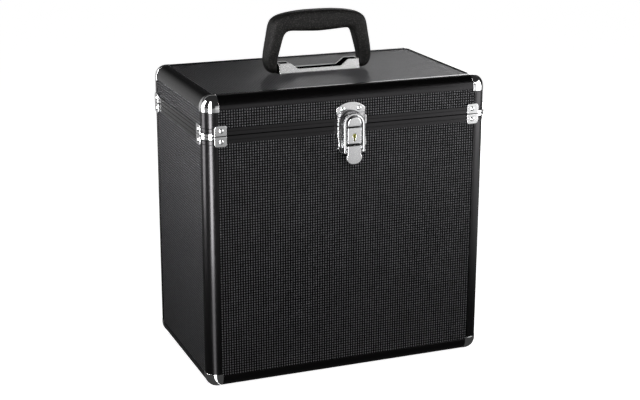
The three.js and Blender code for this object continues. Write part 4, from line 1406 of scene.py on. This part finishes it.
def dress_lining(node, body, open_up):
    """A thin foam tray glued inside one half, its rim and its inner edges rounded."""
    low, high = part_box(node)
    wall = 3 * MM
    lip = 1.2 * MM
    fillet = 5 * MM
    half_x = (high.x - low.x) / 2
    half_y = (high.y - low.y) / 2
    depth = high.z - low.z
    # Each station is an inset from the tray's outside and a height above its closed side
    stations = [
        (0, 0),
        *arc(lip, depth - lip, lip, 2 * QUARTER, QUARTER, 4),
        *arc(wall - lip, depth - lip, lip, QUARTER, 0, 4),
        *arc(wall + fillet, wall + fillet, fillet, 2 * QUARTER, 3 * QUARTER, 6),
    ]
    rings = []
    for inset, up in stations:
        radius = max(profile_radius - (case_high.x - high.x) - inset, 0.8 * MM)
        z = low.z + up if open_up else high.z - up
        ring = []
        for x, y, start in corner_arcs(half_x - inset - radius, half_y - inset - radius):
            ring += [(px, py, z) for px, py in arc(x, y, radius, start, start + QUARTER, 8)]
        rings.append(ring)
    parts = [(lofted(rings), UNMOVED)]
    piece(node + "_tray", parts, body, lining_black, [node], 60)


dress_panels()
dress_profiles()
dress_corners()
dress_rims()
dress_brackets()
dress_keeper()
dress_latch_base()
dress_lock()
dress_lever()
dress_loop()
dress_handle_bracket()
dress_grip()
dress_hinges()
dress_rivets()
dress_lining("body_lining", "body", True)
dress_lining("lid_lining", "lid", False)


# Studio

def ray_kinds(graph):
    """Whether a ray comes from the camera, and whether metal or glass sent it on."""
    path = graph.node("ShaderNodeLightPath")
    kinds = ("Is Camera Ray", "Is Glossy Ray", "Is Transmission Ray")
    camera, glossy, transmission = (Flow(graph, path.outputs[kind]) for kind in kinds)
    return camera, glossy.most(transmission)


def make_floor():
    """A plain floor: white to the camera away from the shadow, with levels of its own for metal that are
    painted light and shade.
    """
    size = 6.0
    mesh = mesh_of([(-size, -size, 0), (size, -size, 0), (size, size, 0), (-size, size, 0)], [(0, 1, 2, 3)])
    floor = placed("floor", mesh)
    material = bpy.data.materials.new("pale_floor")
    graph = emptied_graph(material)
    camera, mirrored = ray_kinds(graph)
    side, depth = graph.flow("ShaderNodeTexCoord", "Object").split()[:2]
    # What metal sees of the floor is painted light and shade: painted shade next to the case, brighter
    # further off, brighter ahead and to the right than behind
    away = ((side * side + depth * depth) ** 0.5).rise(0.3, 0.9)
    behind = depth.rise(-0.2, 0.3)
    ahead_level = 0.22 + 0.7 * side.rise(0.0, 0.8)
    behind_level = 0.1 + 0.4 * depth.rise(0.4, 1.8)
    near_painted_shade = 0.06
    level = near_painted_shade + away * (ahead_level * (1 - behind) + behind_level * behind)
    # A painted pool of light for metal to mirror: a narrow bright fan that opens from the left front
    # corner, away from the case
    corner_x, corner_y = (-0.166, -0.103)
    heading_x, heading_y = (-0.573, -0.819)
    right_of_it = side - corner_x
    behind_it = depth - corner_y
    along = right_of_it * heading_x + behind_it * heading_y
    across = right_of_it * -heading_y + behind_it * heading_x
    painted_pool_level = 3.2
    painted_pool = (abs(across) / along.most(0.001)).fall(0.16, 0.26)
    level = level.most(painted_pool * painted_pool_level)
    grey = 0.82
    glow_level = 0.96
    matt = graph.flow("ShaderNodeBsdfDiffuse", 0, {"Color": (grey, grey, grey, 1)})
    glow = graph.flow("ShaderNodeEmission", 0, {"Color": camera * glow_level, "Strength": 1.0})
    seen = graph.flow("ShaderNodeAddShader", 0, {0: matt, 1: glow})
    mirror = graph.flow("ShaderNodeEmission", 0, {"Color": level, "Strength": 1.0})
    surface = graph.flow("ShaderNodeMixShader", 0, {0: mirrored, 1: seen, 2: mirror})
    graph.node("ShaderNodeOutputMaterial", {"Surface": surface})
    mesh.materials.append(material)


def make_world():
    """White to the camera, a dark studio with a few bright parts to metal, and a faint fill to the rest."""
    world = bpy.data.worlds.new("studio")
    bpy.context.scene.world = world
    graph = emptied_graph(world)
    camera, mirrored = ray_kinds(graph)
    # How far a direction points right, to the back and up, each from -1 to 1
    side, depth, height = graph.flow("ShaderNodeTexCoord", "Generated").split()
    turned = side / ((side * side + depth * depth) ** 0.5)
    window = turned.band(0.4, 0.49, 0.54, 0.64) * depth.rise(0.0, 0.5) * height.fall(0.3, 0.5)
    sill = height.band(0.5, 0.56, 0.58, 0.64) * depth.rise(0.3, 0.6)
    left_wall = turned.fall(-0.2, 0.05) * height.fall(0.1, 0.45) * depth.rise(0.0, 0.4)
    card = side.rise(0.1, 0.4) * height.fall(0.15, 0.35) * depth.fall(-0.5, 0.0)
    dark = 0.03
    studio = dark + 3.0 * window + 0.8 * card + 0.4 * sill + 0.5 * left_wall
    fill = 0.045
    rest = 1 - camera.most(mirrored)
    strength = camera + mirrored * studio + rest * fill
    background = graph.flow("ShaderNodeBackground", 0, {"Color": strength, "Strength": 1.0})
    graph.node("ShaderNodeOutputWorld", {"Surface": background})


def lamp(name, place, target, width, height, watts, mirrored=True, matt=True):
    """A soft rectangular lamp that faces a point."""
    data = bpy.data.lights.new(name, "AREA")
    data.shape = "RECTANGLE"
    data.size = width
    data.size_y = height
    data.energy = watts
    obj = placed(name, data)
    obj.location = place
    obj.rotation_mode = "QUATERNION"
    obj.rotation_quaternion = (Vector(target) - Vector(place)).to_track_quat("-Z", "Y")
    obj.visible_glossy = mirrored
    obj.visible_diffuse = matt
    obj.visible_camera = False


def make_lamps():
    """Fills light matt surfaces only, and panels are only mirrored; sizes are metres, powers watts."""
    left_corner = (-half_width, front, 0.55)
    right_corner = (half_width, front, 0.55)
    lamp("overhead_fill", (-0.2, -0.2, 2.2), (0, 0, 0.2), 2.2, 2.2, 0.4, mirrored=False)
    lamp("right_fill", (0.5, -0.25, 0.56), (0.05, 0, 0.4), 0.2, 0.2, 1.2, mirrored=False)
    lamp("front_fill", (0.12, -0.467, 0.45), (0.12, 0, 0.45), 0.7, 0.2, 1.5, mirrored=False)
    lamp("left_fill", (-0.43, -0.09, 0.32), (-half_width, -0.09, 0.45), 0.1, 0.05, 0.95, mirrored=False)
    lamp("back_fill", (0.8, 1.1, 0.19), (0, 0, 0.19), 1.0, 0.3, 5, mirrored=False)
    lamp("front_left_panel", (-0.455, -0.51, 0.55), left_corner, 0.2, 1.1, 11, matt=False)
    lamp("left_panel", (-0.88, 0.14, 0.55), left_corner, 0.4, 1.1, 10, matt=False)
    lamp("right_panel", (1.06, -0.71, 0.55), right_corner, 1.0, 1.1, 12, matt=False)
    lamp("back_right_panel", (0.75, 1.38, 0.68), (0, 0, 0.35), 0.62, 0.4, 1.6, matt=False)


def make_camera():
    """The photograph's viewpoint, fitted to the edges of the case."""
    place = Vector((-637.8, -1604.5, 698.7)) * MM + Y * middle_y
    azimuth = math.radians(21.82)
    elevation = math.radians(16.54)
    roll = math.radians(0.19)
    focal_pixels = 1440
    image_width = 640
    ahead = Vector((
        math.sin(azimuth) * math.cos(elevation),
        math.cos(azimuth) * math.cos(elevation),
        -math.sin(elevation),
    ))
    level = ahead.cross(Z).normalized()
    upright = level.cross(ahead)
    across = level * math.cos(roll) + upright * math.sin(roll)
    upward = upright * math.cos(roll) - level * math.sin(roll)
    data = bpy.data.cameras.new("camera")
    data.sensor_fit = "HORIZONTAL"
    data.sensor_width = 36
    data.lens = data.sensor_width * focal_pixels / image_width
    camera = placed("camera", data)
    camera.matrix_world = basis(place, across, upward, -ahead)
    bpy.context.scene.camera = camera


make_floor()
make_world()
make_lamps()
make_camera()
bpy.context.scene.view_settings.view_transform = "Standard"
